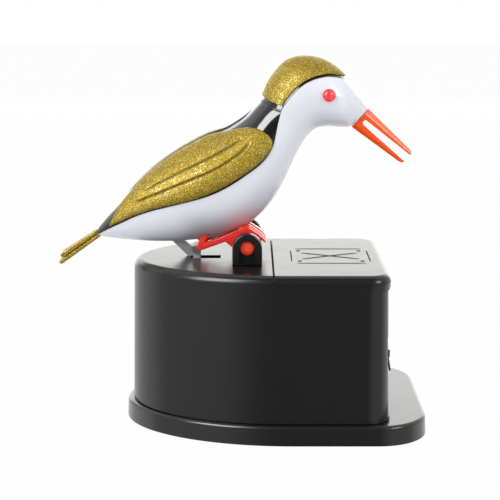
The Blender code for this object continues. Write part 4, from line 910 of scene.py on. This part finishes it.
def section(at):
    """Centre, direction from belly to back, half height and half width of one section."""
    back_x, back_z, belly_x, belly_z, width = between_rows(section_shares, at)
    back, belly = bird_point(back_x, back_z), bird_point(belly_x, belly_z)
    up = back - belly
    return (back + belly) / 2, up.normalized(), up.length / 2, width * bird_width / 2


def skin(at, angle, out):
    """A point at an angle from the belly (0) over the near side to the back (pi)."""
    centre, up, half_height, half_width = section(at)
    side = Vector((0, -math.sin(angle) * (half_width + out), 0))
    return centre - up * math.cos(angle) * (half_height + out) + side


def share_angle(share):
    """The angle at which a share of the way from belly to back lies."""
    return math.acos(max(-1.0, min(1.0, 1 - 2 * share)))


def bird_loft(out, start=0.0, end=last_section, rings=86, sides=80):
    """The whole bird as ovals that are bridged, moved out or in by a distance."""
    bm = bmesh.new()
    edges = []
    for i in range(rings):
        centre, up, half_height, half_width = section(start + (end - start) * i / (rings - 1))
        side_axis = Vector((0, 1, 0))
        turn = Matrix((side_axis, up, side_axis.cross(up))).transposed().to_4x4()
        size = Matrix.Diagonal((half_width + out, half_height + out, 1, 1))
        ring = bmesh.ops.create_circle(
            bm, segments=sides, radius=1.0, matrix=Matrix.Translation(centre) @ turn @ size
        )
        edges += {e for v in ring["verts"] for e in v.link_edges}
        if i in (0, rings - 1):
            bm.faces.new(ring["verts"])
    bmesh.ops.bridge_loops(bm, edges=edges)
    return bm


print("breast at", [round(v / mm, 1) for v in skin(9, math.pi / 4, 0)])

# %% [markdown]
# ## Two shells
#
# White breast and black back meet along one line in side view. Both are the same loft,
# hollowed, and then cut through by a tool drawn from that line. The back also gets a low bead
# along its spine and a collar behind the crown, both as tubes that are half sunk.

# %% Line between the white and the black shell
split_shares = [
    (-0.060, 0.006), (0.000, 0.045), (0.044, 0.083), (0.087, 0.117), (0.147, 0.163),
    (0.207, 0.196), (0.267, 0.222), (0.325, 0.246), (0.385, 0.271), (0.443, 0.303),
    (0.500, 0.347), (0.557, 0.402), (0.592, 0.438), (0.618, 0.474), (0.638, 0.515),
    (0.651, 0.556), (0.658, 0.600), (0.664, 0.645), (0.671, 0.690), (0.681, 0.738),
    (0.701, 0.783), (0.726, 0.828), (0.756, 0.867), (0.789, 0.893), (0.824, 0.907),
    (0.854, 0.910), (0.889, 0.902), (0.919, 0.888), (0.960, 0.860),
]


def split_line(rise, finer=5):
    """The line in X and Z, moved up across itself by a distance."""
    count = (len(split_shares) - 1) * finer
    line = [bird_point(*between_rows(split_shares, i / finer)) for i in range(count + 1)]
    moved = []
    for i, point in enumerate(line):
        ahead = line[min(i + 1, count)] - line[max(i - 1, 0)]
        normal = Vector((-ahead.z, 0, ahead.x)).normalized()
        moved.append(point + normal * rise)
    return moved


def split_share(at, rise):
    """Where the line, moved up by a distance, crosses a section: 0 belly, 1 back."""
    centre, up, half_height, _ = section(at)
    belly = centre - up * half_height
    line = split_line(rise, 2)
    best = 1.0
    for a, b in zip(line, line[1:]):
        step = b - a
        det = up.x * -step.z + up.z * step.x
        if abs(det) < 1e-12:
            continue
        away = a - belly
        along = (away.x * -step.z + away.z * step.x) / det
        place = (up.x * away.z - up.z * away.x) / det
        if -0.001 <= place <= 1.001 and 0 <= along <= 2 * half_height:
            best = min(best, along / (2 * half_height))
    return best


def upper_zone(rise):
    """All above the line, right through the bird."""
    outline = [(p.x, p.z) for p in split_line(rise)]
    high = perch.z + 1.6 * bird_height
    outline += [(outline[-1][0], high), (outline[0][0], high)]
    return plate(outline, 2 * bird_width, -bird_width)


# %% White breast and black back
shell_wall, split_gap = 1.8 * mm, 0.12 * mm
hollow_span = (0.7, last_section - 0.45, 40, 48)
breast = shape("breast_shell", bird_loft(0.0))
mantle = shape("mantle_shell", bird_loft(0.0))
for shell in (breast, mantle):
    combine(shell, bird_loft(-shell_wall, *hollow_span))
combine(breast, upper_zone(0.0))
combine(mantle, upper_zone(split_gap), "INTERSECT")
bead_start, bead_end, bead_radius, bead_rise = 2.8, 9.3, 1.5 * mm, 0.75 * mm
spine = []
for i in range(61):
    share = i / 60
    sink = bead_radius - bead_rise * min(1.0, 4 * share, 4 * (1 - share))
    spine.append(skin(bead_start + (bead_end - bead_start) * share, math.pi, -sink - 0.02 * mm))
combine(mantle, tube(spine, bead_radius, 32), "UNION")
collar_line, collar_radius = [], 0.5 * mm
for i in range(41):
    across = 2 * i / 40 - 1
    at = 9.8 + 0.5 * across**2
    low = share_angle(split_share(at, 0.4 * mm))
    point = skin(at, math.pi - (math.pi - low) * abs(across), -0.05 * mm)
    collar_line.append(Vector((point.x, point.y if across < 0 else -point.y, point.z)))
combine(mantle, tube(collar_line, collar_radius), "UNION")
dress(breast, shell_white, "bird", "white_plastic", "body_shell", sharp=50)
dress(mantle, gloss_black, "bird", "gloss_black", "back_shell", sharp=50)

# %% [markdown]
# ## Sheets that lie on the skin
#
# Wings and crown are thin crowned sheets on the black shell. A flat grid and a copy of it are
# the start. Their vertices are carried onto the skin, and a bridge joins the two rims.


# %% Sheets on the skin
def sheet_on_skin(rows, columns, spot):
    """A grid whose vertices go to spot(u, v): an outer point, an inner one and how deep a
    groove runs there from 0 to 1, which is kept as UV for the finish's painted groove shade."""
    bm = bmesh.new()
    carved = bm.loops.layers.uv.new("groove")
    depth = {}
    bmesh.ops.create_grid(bm, x_segments=rows, y_segments=columns, size=0.5)
    uv = {v: (v.co.x + 0.5, v.co.y + 0.5) for v in bm.verts}
    lower = bmesh.ops.duplicate(bm, geom=list(bm.faces) + list(bm.edges) + list(bm.verts))
    pair = {v: lower["vert_map"][v] for v in uv}
    for vert, (u, v) in uv.items():
        vert.co, pair[vert].co, depth[vert] = spot(u, v)
    rims = [e for e in bm.edges if e.is_boundary]
    bmesh.ops.bridge_loops(bm, edges=rims)
    for face in bm.faces:
        for loop in face.loops:
            loop[carved].uv = (depth.get(loop.vert, 0.0), 0.0)
    return bm

# %% [markdown]
# ## Wings
#
# Each wing is a long leaf that runs from a point near the tail to a round shoulder. Two
# grooves follow the feathers along it. A third one above them and a notch across them are
# fainter. All are narrow dips in the sheet's height.

# %% Wings
wing_edge_shares = [
    (1.43, 0.588, 0.606),
    (1.70, 0.596, 0.722),
    (2.10, 0.600, 0.845),
    (2.50, 0.604, 0.920),
    (2.90, 0.602, 0.952),
    (3.40, 0.589, 0.975),
    (4.00, 0.556, 0.987),
    (4.70, 0.519, 0.991),
    (5.40, 0.510, 0.991),
    (6.10, 0.514, 0.990),
    (6.80, 0.517, 0.978),
    (7.50, 0.498, 0.940),
    (8.10, 0.472, 0.880),
    (8.55, 0.460, 0.795),
    (8.82, 0.462, 0.705),
    (8.97, 0.500, 0.600),
]
groove_shares = [
    [(2.98, 0.762), (3.43, 0.740), (3.95, 0.715), (4.62, 0.700), (5.28, 0.691), (5.86, 0.687),
     (6.30, 0.694), (6.73, 0.706), (7.30, 0.715), (7.85, 0.718)],
    [(3.53, 0.825), (3.93, 0.810), (4.68, 0.799), (5.15, 0.796), (5.85, 0.796), (6.28, 0.800),
     (6.70, 0.810), (7.20, 0.815), (7.48, 0.815)],
    [(3.95, 0.930), (4.40, 0.898), (4.80, 0.878), (5.16, 0.866)],
]
notch_shares = [(5.16, 0.866), (5.19, 0.796), (5.40, 0.687)]
wing_lift, wing_edge, wing_crown = 0.3 * mm, 0.6 * mm, 1.4 * mm
groove_depth, groove_width = 0.45 * mm, 0.34 * mm
faint_share, fade_rows, rows_nearer_ends = 0.4, 0.25, 0.055
top_margin, top_fall = 0.12, 0.6


def row_value(rows, at):
    """The smooth values of a table whose first column rises, at one place in it."""
    i = 0
    while i < len(rows) - 2 and rows[i + 1][0] < at:
        i += 1
    share = (at - rows[i][0]) / (rows[i + 1][0] - rows[i][0])
    return between_rows(rows, i + min(max(share, 0.0), 1.0))[1:]


def dip(away):
    """A groove's share of its depth at a distance from its middle: a narrow bell."""
    return math.exp(-((away / groove_width) ** 2))


def wing_spot(u, v, side):
    """Where the wing's grid goes. Near its upper edge the wing lies lower on the skin."""
    start, end = wing_edge_shares[0][0], wing_edge_shares[-1][0]
    at = start + (end - start) * (u + rows_nearer_ends * math.sin(2 * math.pi * (u - 0.5)))
    low, high = (share_angle(share) for share in row_value(wing_edge_shares, at))
    angle = low + (high - low) * v
    along = max(0.0, min(1.0, 4 * u, 5 * (1 - u)))
    swell = wing_crown * math.sqrt(max(0.0, math.sin(math.pi * v)) * along)
    centre, _, half_height, _ = section(at)
    share = (1 - math.cos(angle)) / 2
    carved = 0.0
    for number, rows in enumerate(groove_shares):
        ends = min(at - rows[0][0], rows[-1][0] - at)
        if ends > 0:
            fade = min(1.0, ends / fade_rows) * (1.0 if number < 2 else faint_share)
            carved += fade * dip((share - row_value(rows, at)[0]) * 2 * half_height)
    here = Vector((centre.x, share * 2 * half_height))
    for (at_a, share_a), (at_b, share_b) in zip(notch_shares, notch_shares[1:]):
        a = Vector((section(at_a)[0].x, share_a * 2 * half_height))
        b = Vector((section(at_b)[0].x, share_b * 2 * half_height))
        step = b - a
        t = min(max((here - a).dot(step) / step.length_squared, 0.0), 1.0)
        carved += faint_share * dip((here - a - step * t).length)
    swell -= min(1.0, carved) * groove_depth
    low_top = 1 - top_fall * max(0.0, 1 - (1 - v) / top_margin)
    rise = wing_edge * low_top + max(swell, -wing_edge / 2)
    outer, inner = skin(at, angle, wing_lift + rise), skin(at, angle, wing_lift * low_top)
    if side > 0:
        outer.y, inner.y = -outer.y, -inner.y
    return outer, inner, min(1.0, carved)


for side, label in ((-1, "near"), (1, "far")):
    wing_bm = sheet_on_skin(180, 120, lambda u, v, side=side: wing_spot(u, v, side))
    wing = shape(f"gold_wing_{label}", wing_bm)
    dress(wing, gold_glitter, "bird", "gold_glitter", f"wing_{label}", sharp=60)

# %% [markdown]
# ## Crown
#
# The crown cap covers the head from the nape to the forehead, and stops a hair above the
# line, so that a thin black edge shows below it.

# %% Crown
crown_start, crown_corner, crown_tip = 10.05, 10.55, 15.1
crown_thickness, crown_edge, black_edge = 0.9 * mm, 0.5 * mm, 0.5 * mm


def crown_spot(u, v):
    across = 2 * v - 1
    start = crown_start + (crown_corner - crown_start) * across**2
    at = start + (crown_tip - start) * u
    low = share_angle(min(0.995, split_share(at, seat_gap + black_edge)))
    angle = math.pi - (math.pi - low) * abs(across)
    edge = max(0.0, min(1.0, 4 * u, 4 * (1 - u), 4 * (1 - abs(across))))
    rise = crown_edge + (crown_thickness - crown_edge) * edge**0.5
    outer, inner = skin(at, angle, seat_gap + rise), skin(at, angle, seat_gap)
    if across > 0:
        outer.y, inner.y = -outer.y, -inner.y
    return outer, inner, 0.0


crown = shape("gold_crown", sheet_on_skin(56, 56, crown_spot))
dress(crown, gold_glitter, "bird", "gold_glitter", "crown_cap", sharp=60)

# %% [markdown]
# ## Tail
#
# The tail is two flat layers of glitter that leave the body one above the other and widen
# towards the end. Each is a stack of rounded bars along a sloping line.


# %% Tail layers
def rounded_bar(place, up, half, low, high, round_by, steps=5):
    """A ring: a bar seen from its end, wide along Y, with quarter rounds at its corners."""
    ring = []
    for y, z, first in ((half, high, 0), (-half, high, 90), (-half, low, 180), (half, low, 270)):
        inner_y = y - math.copysign(round_by, y)
        inner_z = z - (round_by if z == high else -round_by)
        for i in range(steps + 1):
            a = math.radians(first + 90 * i / steps)
            spot_y = inner_y + round_by * math.cos(a)
            ring.append(place + up * (inner_z + round_by * math.sin(a)) + Vector((0, spot_y, 0)))
    return ring


slope = math.radians(33.4)
tail_along = Vector((-math.cos(slope), 0, -math.sin(slope)))
tail_up = Vector((-math.sin(slope), 0, math.cos(slope)))
tail_foot = tail_root + Vector((0, 0, 3.8 * mm))
tail_overlap, round_from, tail_round = 1.5 * mm, 0.94, 0.3 * mm
for node, length, low, low_end in (
    ("tail_upper", 17.3 * mm, -0.3 * mm, -0.533 * mm),
    ("tail_lower", 19.236 * mm, -1.8 * mm, -2.433 * mm),
):
    rings = []
    for share in [i / 24 * round_from for i in range(25)] + [0.96, 0.975, 0.99, 1.0]:
        place = tail_foot + tail_along * (length * share - tail_overlap * (1 - share))
        fullness = math.sqrt(max(0.0, 1 - max(0.0, (share - round_from) / 0.065) ** 2))
        half = (2.5 + 2.25 * share) * mm * (0.72 + 0.28 * fullness)
        thick = (1.2 + 0.4 * share) * mm
        squeeze = thick * 0.3 * (1 - fullness)
        bottom = low + (low_end - low) * share
        top = bottom + thick - squeeze
        rings.append(rounded_bar(place, tail_up, half, bottom + squeeze, top, tail_round))
    layer = shape(node + "_leaf", stack(rings))
    combine(layer, bird_loft(seat_gap))
    dress(layer, gold_glitter, "bird", "gold_glitter", node, sharp=50)

# %% [markdown]
# ## Beak
#
# The beak is a tapering bar with eight sides. Its wide upper facets meet the sides in a crisp
# ridge, which catches the light. A slot with a round root splits it into two prongs.

# %% Beak
drop = math.radians(42.5)
beak_along = Vector((math.cos(drop), 0, -math.sin(drop)))
beak_up = Vector((math.sin(drop), 0, math.cos(drop)))
beak_root = section(last_section)[0] + beak_along * seat_gap
beak_length, prong_tip, beak_lift, mouth = 24.2 * mm, 1.4 * mm, 1.0 * mm, 3.2 * mm
tip_top, tip_low = beak_lift + mouth / 2 + prong_tip, beak_lift - mouth / 2 - prong_tip
root_half_width, tip_half_width, root_half_height = 3.7 * mm, 1.3 * mm, 4.7 * mm
rings = []
for share, width, shrink in ((0, 1, 0), (0.93, 1, 0), (0.975, 0.88, 0.16), (1.0, 0.6, 0.42)):
    half = (root_half_width + (tip_half_width - root_half_width) * share) * width
    high = root_half_height + (tip_top - root_half_height) * share - prong_tip * shrink
    low = -root_half_height + (tip_low + root_half_height) * share + prong_tip * shrink
    top_trim, low_trim = half * 0.56, half * 0.4
    corners = [
        (-half, low + low_trim), (-half, high - top_trim), (-half + top_trim, high),
        (half - top_trim, high), (half, high - top_trim), (half, low + low_trim),
        (half - low_trim, low), (-half + low_trim, low),
    ]
    place = beak_root + beak_along * (beak_length * share)
    rings.append([place + beak_up * z + Vector((0, y, 0)) for y, z in corners])
beak = shape("forked_beak", stack(rings))
slit_start, slit_root = 1.8 * mm, 0.95 * mm
slit = []
for i in range(13):
    angle = math.pi / 2 + math.pi * i / 12
    slit.append((slit_start + slit_root * (1 + math.cos(angle)), slit_root * math.sin(angle)))
reach = beak_length + mm
slit += [(reach, beak_lift - mouth / 2), (reach, beak_lift + mouth / 2)]
outline = [beak_root + beak_along * x + beak_up * z for x, z in slit]
combine(beak, plate([(p.x, p.z) for p in outline], 20 * mm, -10 * mm))
print("beak cut,", len(beak.data.polygons), "faces")

# %% Softened edges of the beak
beak_bm = bmesh.new()
beak_bm.from_mesh(beak.data)
bmesh.ops.dissolve_limit(
    beak_bm, angle_limit=math.radians(1), verts=beak_bm.verts, edges=beak_bm.edges
)
crisp = [e for e in beak_bm.edges if e.is_manifold and e.calc_face_angle() > math.radians(28)]
soften(beak_bm, crisp, 0.22 * mm, 2)
bmesh.ops.triangulate(beak_bm, faces=[f for f in beak_bm.faces if len(f.verts) > 4])
beak_bm.to_mesh(beak.data)
beak_bm.free()
print("edges softened:", len(crisp))

# %% [markdown]
# The finish follows the form. The side facets are orange. The upper ones are painted a lighter
# salmon as painted light from above, and a thin painted highlight lies on the ridge between
# them. A round peg joins the beak to the head.

# %% Facets, ridge and peg
# Painted light: the upper facets are lighter salmon as if lit from above, and the ridge gets a painted highlight.
side_orange, painted_facet_light, painted_ridge_highlight = (1.0, 0.095, 0.01), (1.0, 0.19, 0.08), (1.0, 0.45, 0.22)
from_root = tint_orange.vectors("SUBTRACT", tint_orange.place(), tuple(beak_root))
rise, reached = (
    tint_orange.vectors("DOT_PRODUCT", from_root, tuple(way)) for way in (beak_up, beak_along)
)
ridge_rise, ridge_slope, ridge_half = 2.63 * mm, 0.0264, 0.3 * mm
above_ridge = rise - reached * ridge_slope - ridge_rise
off_ridge = above_ridge.maths("ABSOLUTE", above_ridge) * (1 / ridge_half)
on_ridge = above_ridge.maths("MAXIMUM", 1 - off_ridge, 0.0)
by_facet = tint_orange.blend(above_ridge > 0.0, side_orange, painted_facet_light)
tint_orange.set(Base_Color=tint_orange.blend(on_ridge, by_facet, painted_ridge_highlight))
peg = [(0, 0), (1.6 * mm, 0), (1.8 * mm, 0.2 * mm), (1.8 * mm, 5.2 * mm), (0, 5.2 * mm)]
combine(beak, turned(peg, beak_root - beak_along * 4.5 * mm, beak_along, 32), "UNION")
dress(beak, tint_orange, "bird", "orange_plastic", "beak", sharp=50, weighted=True)

# %% [markdown]
# ## Eyes
#
# Each eye is a red dome on a short stem. A low flange round the dome gives the dark rim, and
# its red is darkened where the dome turns away from view, as painted shade.


# %% Eyes
def eye_seat(at, share):
    """Place and outward direction of the near eye."""
    angle, step = share_angle(share), 0.05
    along = skin(at + step, angle, 0) - skin(at - step, angle, 0)
    around = skin(at, angle + step, 0) - skin(at, angle - step, 0)
    normal = along.cross(around).normalized()
    return skin(at, angle, 0), normal if normal.y < 0 else -normal


eye_place, eye_normal = eye_seat(13.6, 0.514)
for label, side in (("near", 1), ("far", -1)):
    mirror = Vector((1, side, 1))
    profile = [(0, -3 * mm), (1.1 * mm, -3 * mm), (1.1 * mm, 0.6 * mm), (2.4 * mm, 0.6 * mm)]
    profile += [(2.4 * mm, 0.78 * mm), (2.3 * mm, 0.9 * mm), (2.08 * mm, 0.88 * mm)]
    for i in range(11):
        a = math.radians(90 * i / 10)
        profile.append((2.02 * mm * math.cos(a), (0.88 + 1.02 * math.sin(a)) * mm))
    eye = shape(f"eye_dome_{label}", turned(profile, eye_place * mirror, eye_normal * mirror, 40))
    dress(eye, eye_red, "bird", "red_plastic", f"eye_{label}", sharp=40)

# %% [markdown]
# ## Legs
#
# Each leg is a flat moulding: thigh, heel and shank in one outline, a hub round the axle, and
# three toes that curl over it. A toe is a bent finger that thins towards its tip.


# %% Legs
leg_outline = [
    (-19.55, -1.3), (-18.8, -2.5), (-16.9, -2.3), (-8.4, 0.8), (-5.75, -1.35), (0, -2.4),
    (0, 6.3), (-2.9, 5.8), (-6.4, 4.3), (-11.6, 2.0), (-16.5, 0.4), (-15.5, 1.7), (-15.1, 3.4),
    (-13.9, 4.7), (-13.6, 6.4), (-19.6, 6.4), (-19.5, 4.6), (-18.0, 2.7), (-18.1, 1.9),
]
toe_outline = [
    (-3.6, 5.6), (-2.8, 6.5), (-1.6, 6.95), (-0.4, 6.95), (0.8, 6.4), (2.4, 5.5), (4.6, 3.95),
    (6.0, 2.75), (7.1, 1.55), (7.3, 1.15), (7.05, 0.9), (6.4, 1.15), (4.7, 2.6), (3.4, 3.6),
    (1.5, 4.4), (-2.0, 4.2),
]
leg_thickness, leg_edge, leg_apart = 3.2 * mm, 0.55 * mm, 7.9 * mm
hub_width, hub_radius, hub_edge = 7.2 * mm, 4.8 * mm, 0.5 * mm
toe_width, toe_edge, toe_step, bore_length = 1.9 * mm, 0.35 * mm, 2.5 * mm, 9 * mm


def from_perch_line(outline, rise=0.0):
    return [(perch.x + x * mm, perch.z + (z + rise) * mm) for x, z in outline]


for label, side in (("near", -1), ("far", 1)):
    middle_y = side * leg_apart
    outline = from_perch_line(leg_outline)
    leg_bm = plate(outline, leg_thickness, middle_y - leg_thickness / 2, leg_edge)
    leg = shape(f"leg_bar_{label}", leg_bm)
    hub = bar_profile(hub_radius, hub_width, hub_edge)
    hub_foot = (perch.x, middle_y - hub_width / 2, perch.z)
    combine(leg, turned(hub, hub_foot, (0, 1, 0), 40), "UNION")
    for place in (-1, 0, 1):
        toe = from_perch_line(toe_outline, 0.2 - 0.2 * place if side < 0 else -0.8 - 0.3 * place)
        toe_y = middle_y + side * place * toe_step - toe_width / 2
        combine(leg, plate(toe, toe_width, toe_y, toe_edge), "UNION")
    bore_foot = (perch.x, middle_y - bore_length / 2, perch.z)
    combine(leg, turned(bar_profile(bore_radius, bore_length), bore_foot, (0, 1, 0), 40))
    combine(leg, bird_loft(seat_gap))
    dress(leg, tint_red, "bird", "red_plastic", f"leg_{label}", sharp=40)

# %% [markdown]
# ## Belly arm and link
#
# The grey arm stands under the belly and ends a hair above the deck. The link hangs from the
# pin at its foot and goes down through the slot. Both are plates with an eye at each pin.


# %% Belly arm and link
def eyelet(centre, radius, y, thickness):
    """A thick round washer, without its hole."""
    profile = bar_profile(radius, thickness, 0.25 * mm)
    return turned(profile, (centre.x, y, centre.z), (0, 1, 0), 36)


def pin_hole(centre):
    """Room for a pin, right through the middle."""
    radius, length = 1.25 * mm, 12 * mm
    return turned(
        bar_profile(radius, length), (centre.x, -length / 2, centre.z), (0, 1, 0), 32
    )


arm_foot_z = deck_z + seat_gap
arm_outline = [
    (-20.8 * mm, arm_foot_z), (-18.5 * mm, arm_foot_z), (arm_pin.x, arm_pin.z - 1.4 * mm),
    (arm_pin.x, arm_pin.z + 1.2 * mm), (-18.6 * mm, arm_pin.z), (-24.6 * mm, 71.8 * mm),
    (-29.0 * mm, 71.8 * mm),
]
bar_thickness, bar_edge, eye_inset = 3 * mm, 0.3 * mm, 0.04 * mm
eye_thickness = bar_thickness - 2 * eye_inset
arm = shape("arm_plate", plate(arm_outline, bar_thickness, seat_gap, 0.35 * mm))
combine(arm, eyelet(arm_pin, 1.9 * mm, seat_gap + eye_inset, eye_thickness), "UNION")
combine(arm, pin_hole(arm_pin))
combine(arm, bird_loft(seat_gap))
dress(arm, link_grey, "bird", "grey_plastic", "belly_arm", sharp=40)

link_foot = arm_pin - Vector((0, 0, 46 * mm))
low_x, high_x = arm_pin.x - bar_thickness / 2, arm_pin.x + bar_thickness / 2
bar = [(low_x, link_foot.z), (high_x, link_foot.z), (high_x, arm_pin.z), (low_x, arm_pin.z)]
link = shape("link_strip", plate(bar, bar_thickness, -bar_thickness, bar_edge))
for centre in (arm_pin, link_foot):
    combine(link, eyelet(centre, 1.8 * mm, eye_inset - bar_thickness, eye_thickness), "UNION")
    combine(link, pin_hole(centre))
dress(link, link_grey, "link", "grey_plastic", "link_bar", sharp=40)

# %% [markdown]
# ## Return spring
#
# The spring is one wire: half a turn round its anchor, five coils, and half a turn round the
# post on the crank. It stretches as the crank turns.

# %% Return spring
spring_x, spring_y, anchor_z, post_z = -7.785 * mm, 6.2 * mm, 11.8 * mm, 22.3 * mm
wire, coil_radius, turns, pitch, hook = 0.35 * mm, 2.1 * mm, 5, 1.3 * mm, 1.65 * mm
coil_foot = (anchor_z + post_z) / 2 - turns * pitch / 2
steps = 32


def half_hook(middle_z, first):
    """Half a turn of wire, upright, that starts at an angle in degrees."""
    angles = [math.radians(first + 10 * i) for i in range(19)]
    return [(hook * math.cos(a), 0, middle_z + hook * math.sin(a)) for a in angles]


coils = []
for i in range(turns * steps + 1):
    a = 2 * math.pi * i / steps
    height = coil_foot + pitch * i / steps
    coils.append((coil_radius * math.cos(a), coil_radius * math.sin(a), height))
wire_path = half_hook(anchor_z, 180) + coils + half_hook(post_z, 0)
wire_path = [Vector((spring_x + x, spring_y + y, z)) for x, y, z in wire_path]
spring = shape("wound_spring", tube(wire_path, wire, 12))
dress(spring, plated_steel, None, "steel", "return_spring", sharp=60)
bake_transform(spring)

# %% [markdown]
# ## Finish on the pieces that keep their solid
#
# What works inside the box or below it is right as it is, so those solids stay and only get
# a finish.

# %% Solids that stay
kept_finish = {
    "dark_plastic": inner_black,
    "gloss_black": gloss_black,
    "white_plastic": shell_white,
    "grey_plastic": link_grey,
    "gold_glitter": gold_glitter,
    "red_plastic": tint_red,
    "orange_plastic": tint_orange,
    "black_plastic": housing_black,
    "steel": plated_steel,
    "rubber": rubber_black,
}
for part in frame["record"]["subparts"]:
    node = frame["nodes"][part["node"]]
    node.data.materials.clear()
    node.data.materials.append(kept_finish[part["material_slot"]].material)

# %% [markdown]
# ## Room, floor and lamps
#
# The photograph was taken on white. The world shows white to the camera and to mirrors, and
# lights the rest at a plain level. To the camera the floor is all but white too. Only mirrors
# see two more things: a dim half dome round the camera, as in a studio whose own side is
# unlit, and the front of one softbox.

# %% World
world = bpy.data.worlds.new("white_room")
bpy.context.scene.world = world
world.use_nodes = True
tree = world.node_tree
background = tree.nodes["Background"]
path = tree.nodes.new("ShaderNodeLightPath")
seen = path.outputs["Is Camera Ray"]
for ray in ("Is Glossy Ray", "Is Transmission Ray"):
    either = tree.nodes.new("ShaderNodeMath")
    either.operation = "MAXIMUM"
    tree.links.new(seen, either.inputs[0])
    tree.links.new(path.outputs[ray], either.inputs[1])
    seen = either.outputs[0]
ambient, white_level = 0.42, 1.0
strength = tree.nodes.new("ShaderNodeMapRange")
strength.inputs["To Min"].default_value = ambient
strength.inputs["To Max"].default_value = white_level
tree.links.new(seen, strength.inputs["Value"])
tree.links.new(strength.outputs[0], background.inputs["Strength"])
background.inputs["Color"].default_value = (1, 1, 1, 1)
print("world at", ambient, "and", white_level)

# %% Floor
floor_finish = Finish("pale_floor", (0.8, 0.8, 0.8), Roughness=1.0)
floor_finish.shader.inputs["Specular IOR Level"].default_value = 0.0
seen_by_camera = floor_finish.node("ShaderNodeLightPath")
white_glow = floor_finish.glow(1.0)
plain = Value(floor_finish, floor_finish.shader.outputs[0])
white_share = seen_by_camera * 0.97
mixed = floor_finish.node("ShaderNodeMixShader", None, white_share, plain, white_glow)
output = floor_finish.tree.nodes["Material Output"]
floor_finish.tree.links.new(mixed.socket, output.inputs["Surface"])
floor_bm = bmesh.new()
bmesh.ops.create_grid(floor_bm, x_segments=1, y_segments=1, size=3.0)
floor = shape("floor", floor_bm)
floor.data.materials.append(floor_finish.material)
floor.visible_glossy = False
print("floor laid")

# %% Dim half dome round the camera
def for_mirrors(piece, finish):
    """A thing of the studio that only mirrors see."""
    piece.data.materials.append(finish.material)
    for ray in ("camera", "diffuse", "transmission", "shadow", "volume_scatter"):
        setattr(piece, f"visible_{ray}", False)


dome_radius, dim, less_dim = 2.0, 0.12, 0.6
dome_finish = Finish("dim_studio")
aside = dome_finish.parts_of(dome_finish.place())[0] * (1 / dome_radius)
beside_camera = dome_finish.band(aside.maths("ABSOLUTE", aside), 0.1, 0.6)
dome_finish.glow(dim + beside_camera * (less_dim - dim))
dome_bm = bmesh.new()
bmesh.ops.create_uvsphere(dome_bm, u_segments=48, v_segments=24, radius=dome_radius)
behind = [v for v in dome_bm.verts if v.co.y > mm]
bmesh.ops.delete(dome_bm, geom=behind, context="VERTS")
for_mirrors(shape("half_dome", dome_bm), dome_finish)
print("dome of", dome_radius, "m")


# %% Lamps
def lamp(name, place, aim, width, height, power):
    """A softbox at a place, aimed at a point, that the camera doesn't see."""
    light = bpy.data.lights.new(name, "AREA")
    light.shape = "RECTANGLE"
    light.size, light.size_y = width, height
    light.energy = power
    made = bpy.data.objects.new(name, light)
    made.location = place
    made.rotation_euler = (Vector(aim) - Vector(place)).to_track_quat("-Z", "Y").to_euler()
    made.visible_camera = False
    bpy.context.scene.collection.objects.link(made)
    return made


middle = (cad_low + cad_high) / 2
lamp("overhead", (0, 0, 0.9), middle, 0.6, 0.6, 2.0).visible_glossy = False
left_front = Vector((-0.6, -0.7, 0.6))
lamp("left_front", left_front, middle, 0.28, 0.8, 4.2).visible_glossy = False
lamp("right_front", (0.7, -0.6, 0.5), middle, 0.35, 0.35, 2.8)
backdrop = lamp("backdrop", (0, 1.3, 0.35), middle, 2.0, 1.0, 8.0)
backdrop.data.color = (1.0, 0.99, 0.95)

softbox_finish = Finish("softbox_front")
softbox_finish.glow(10.5)
softbox_bm = bmesh.new()
facing = (middle - left_front).to_track_quat("Z", "Y").to_matrix().to_4x4()
size = Matrix.Diagonal((0.5, 0.7, 1, 1))
bmesh.ops.create_grid(
    softbox_bm, x_segments=1, y_segments=1, size=0.5,
    matrix=Matrix.Translation(left_front) @ facing @ size,
)
for_mirrors(shape("softbox", softbox_bm), softbox_finish)
print("four lamps and one softbox front")

# %% [markdown]
# ## Camera
#
# A long lens half a metre away, looking down by eleven degrees.

# %% Camera and view
camera = bpy.data.objects.new("camera", bpy.data.cameras.new("camera"))
camera.data.lens = 100
camera.data.sensor_width = 36
camera.location = (3.6 * mm, -529.2 * mm, 170.6 * mm)
camera.rotation_euler = (math.radians(90 - 11.199), 0, 0)
bpy.context.scene.collection.objects.link(camera)
bpy.context.scene.camera = camera
bpy.context.scene.view_settings.view_transform = "Standard"
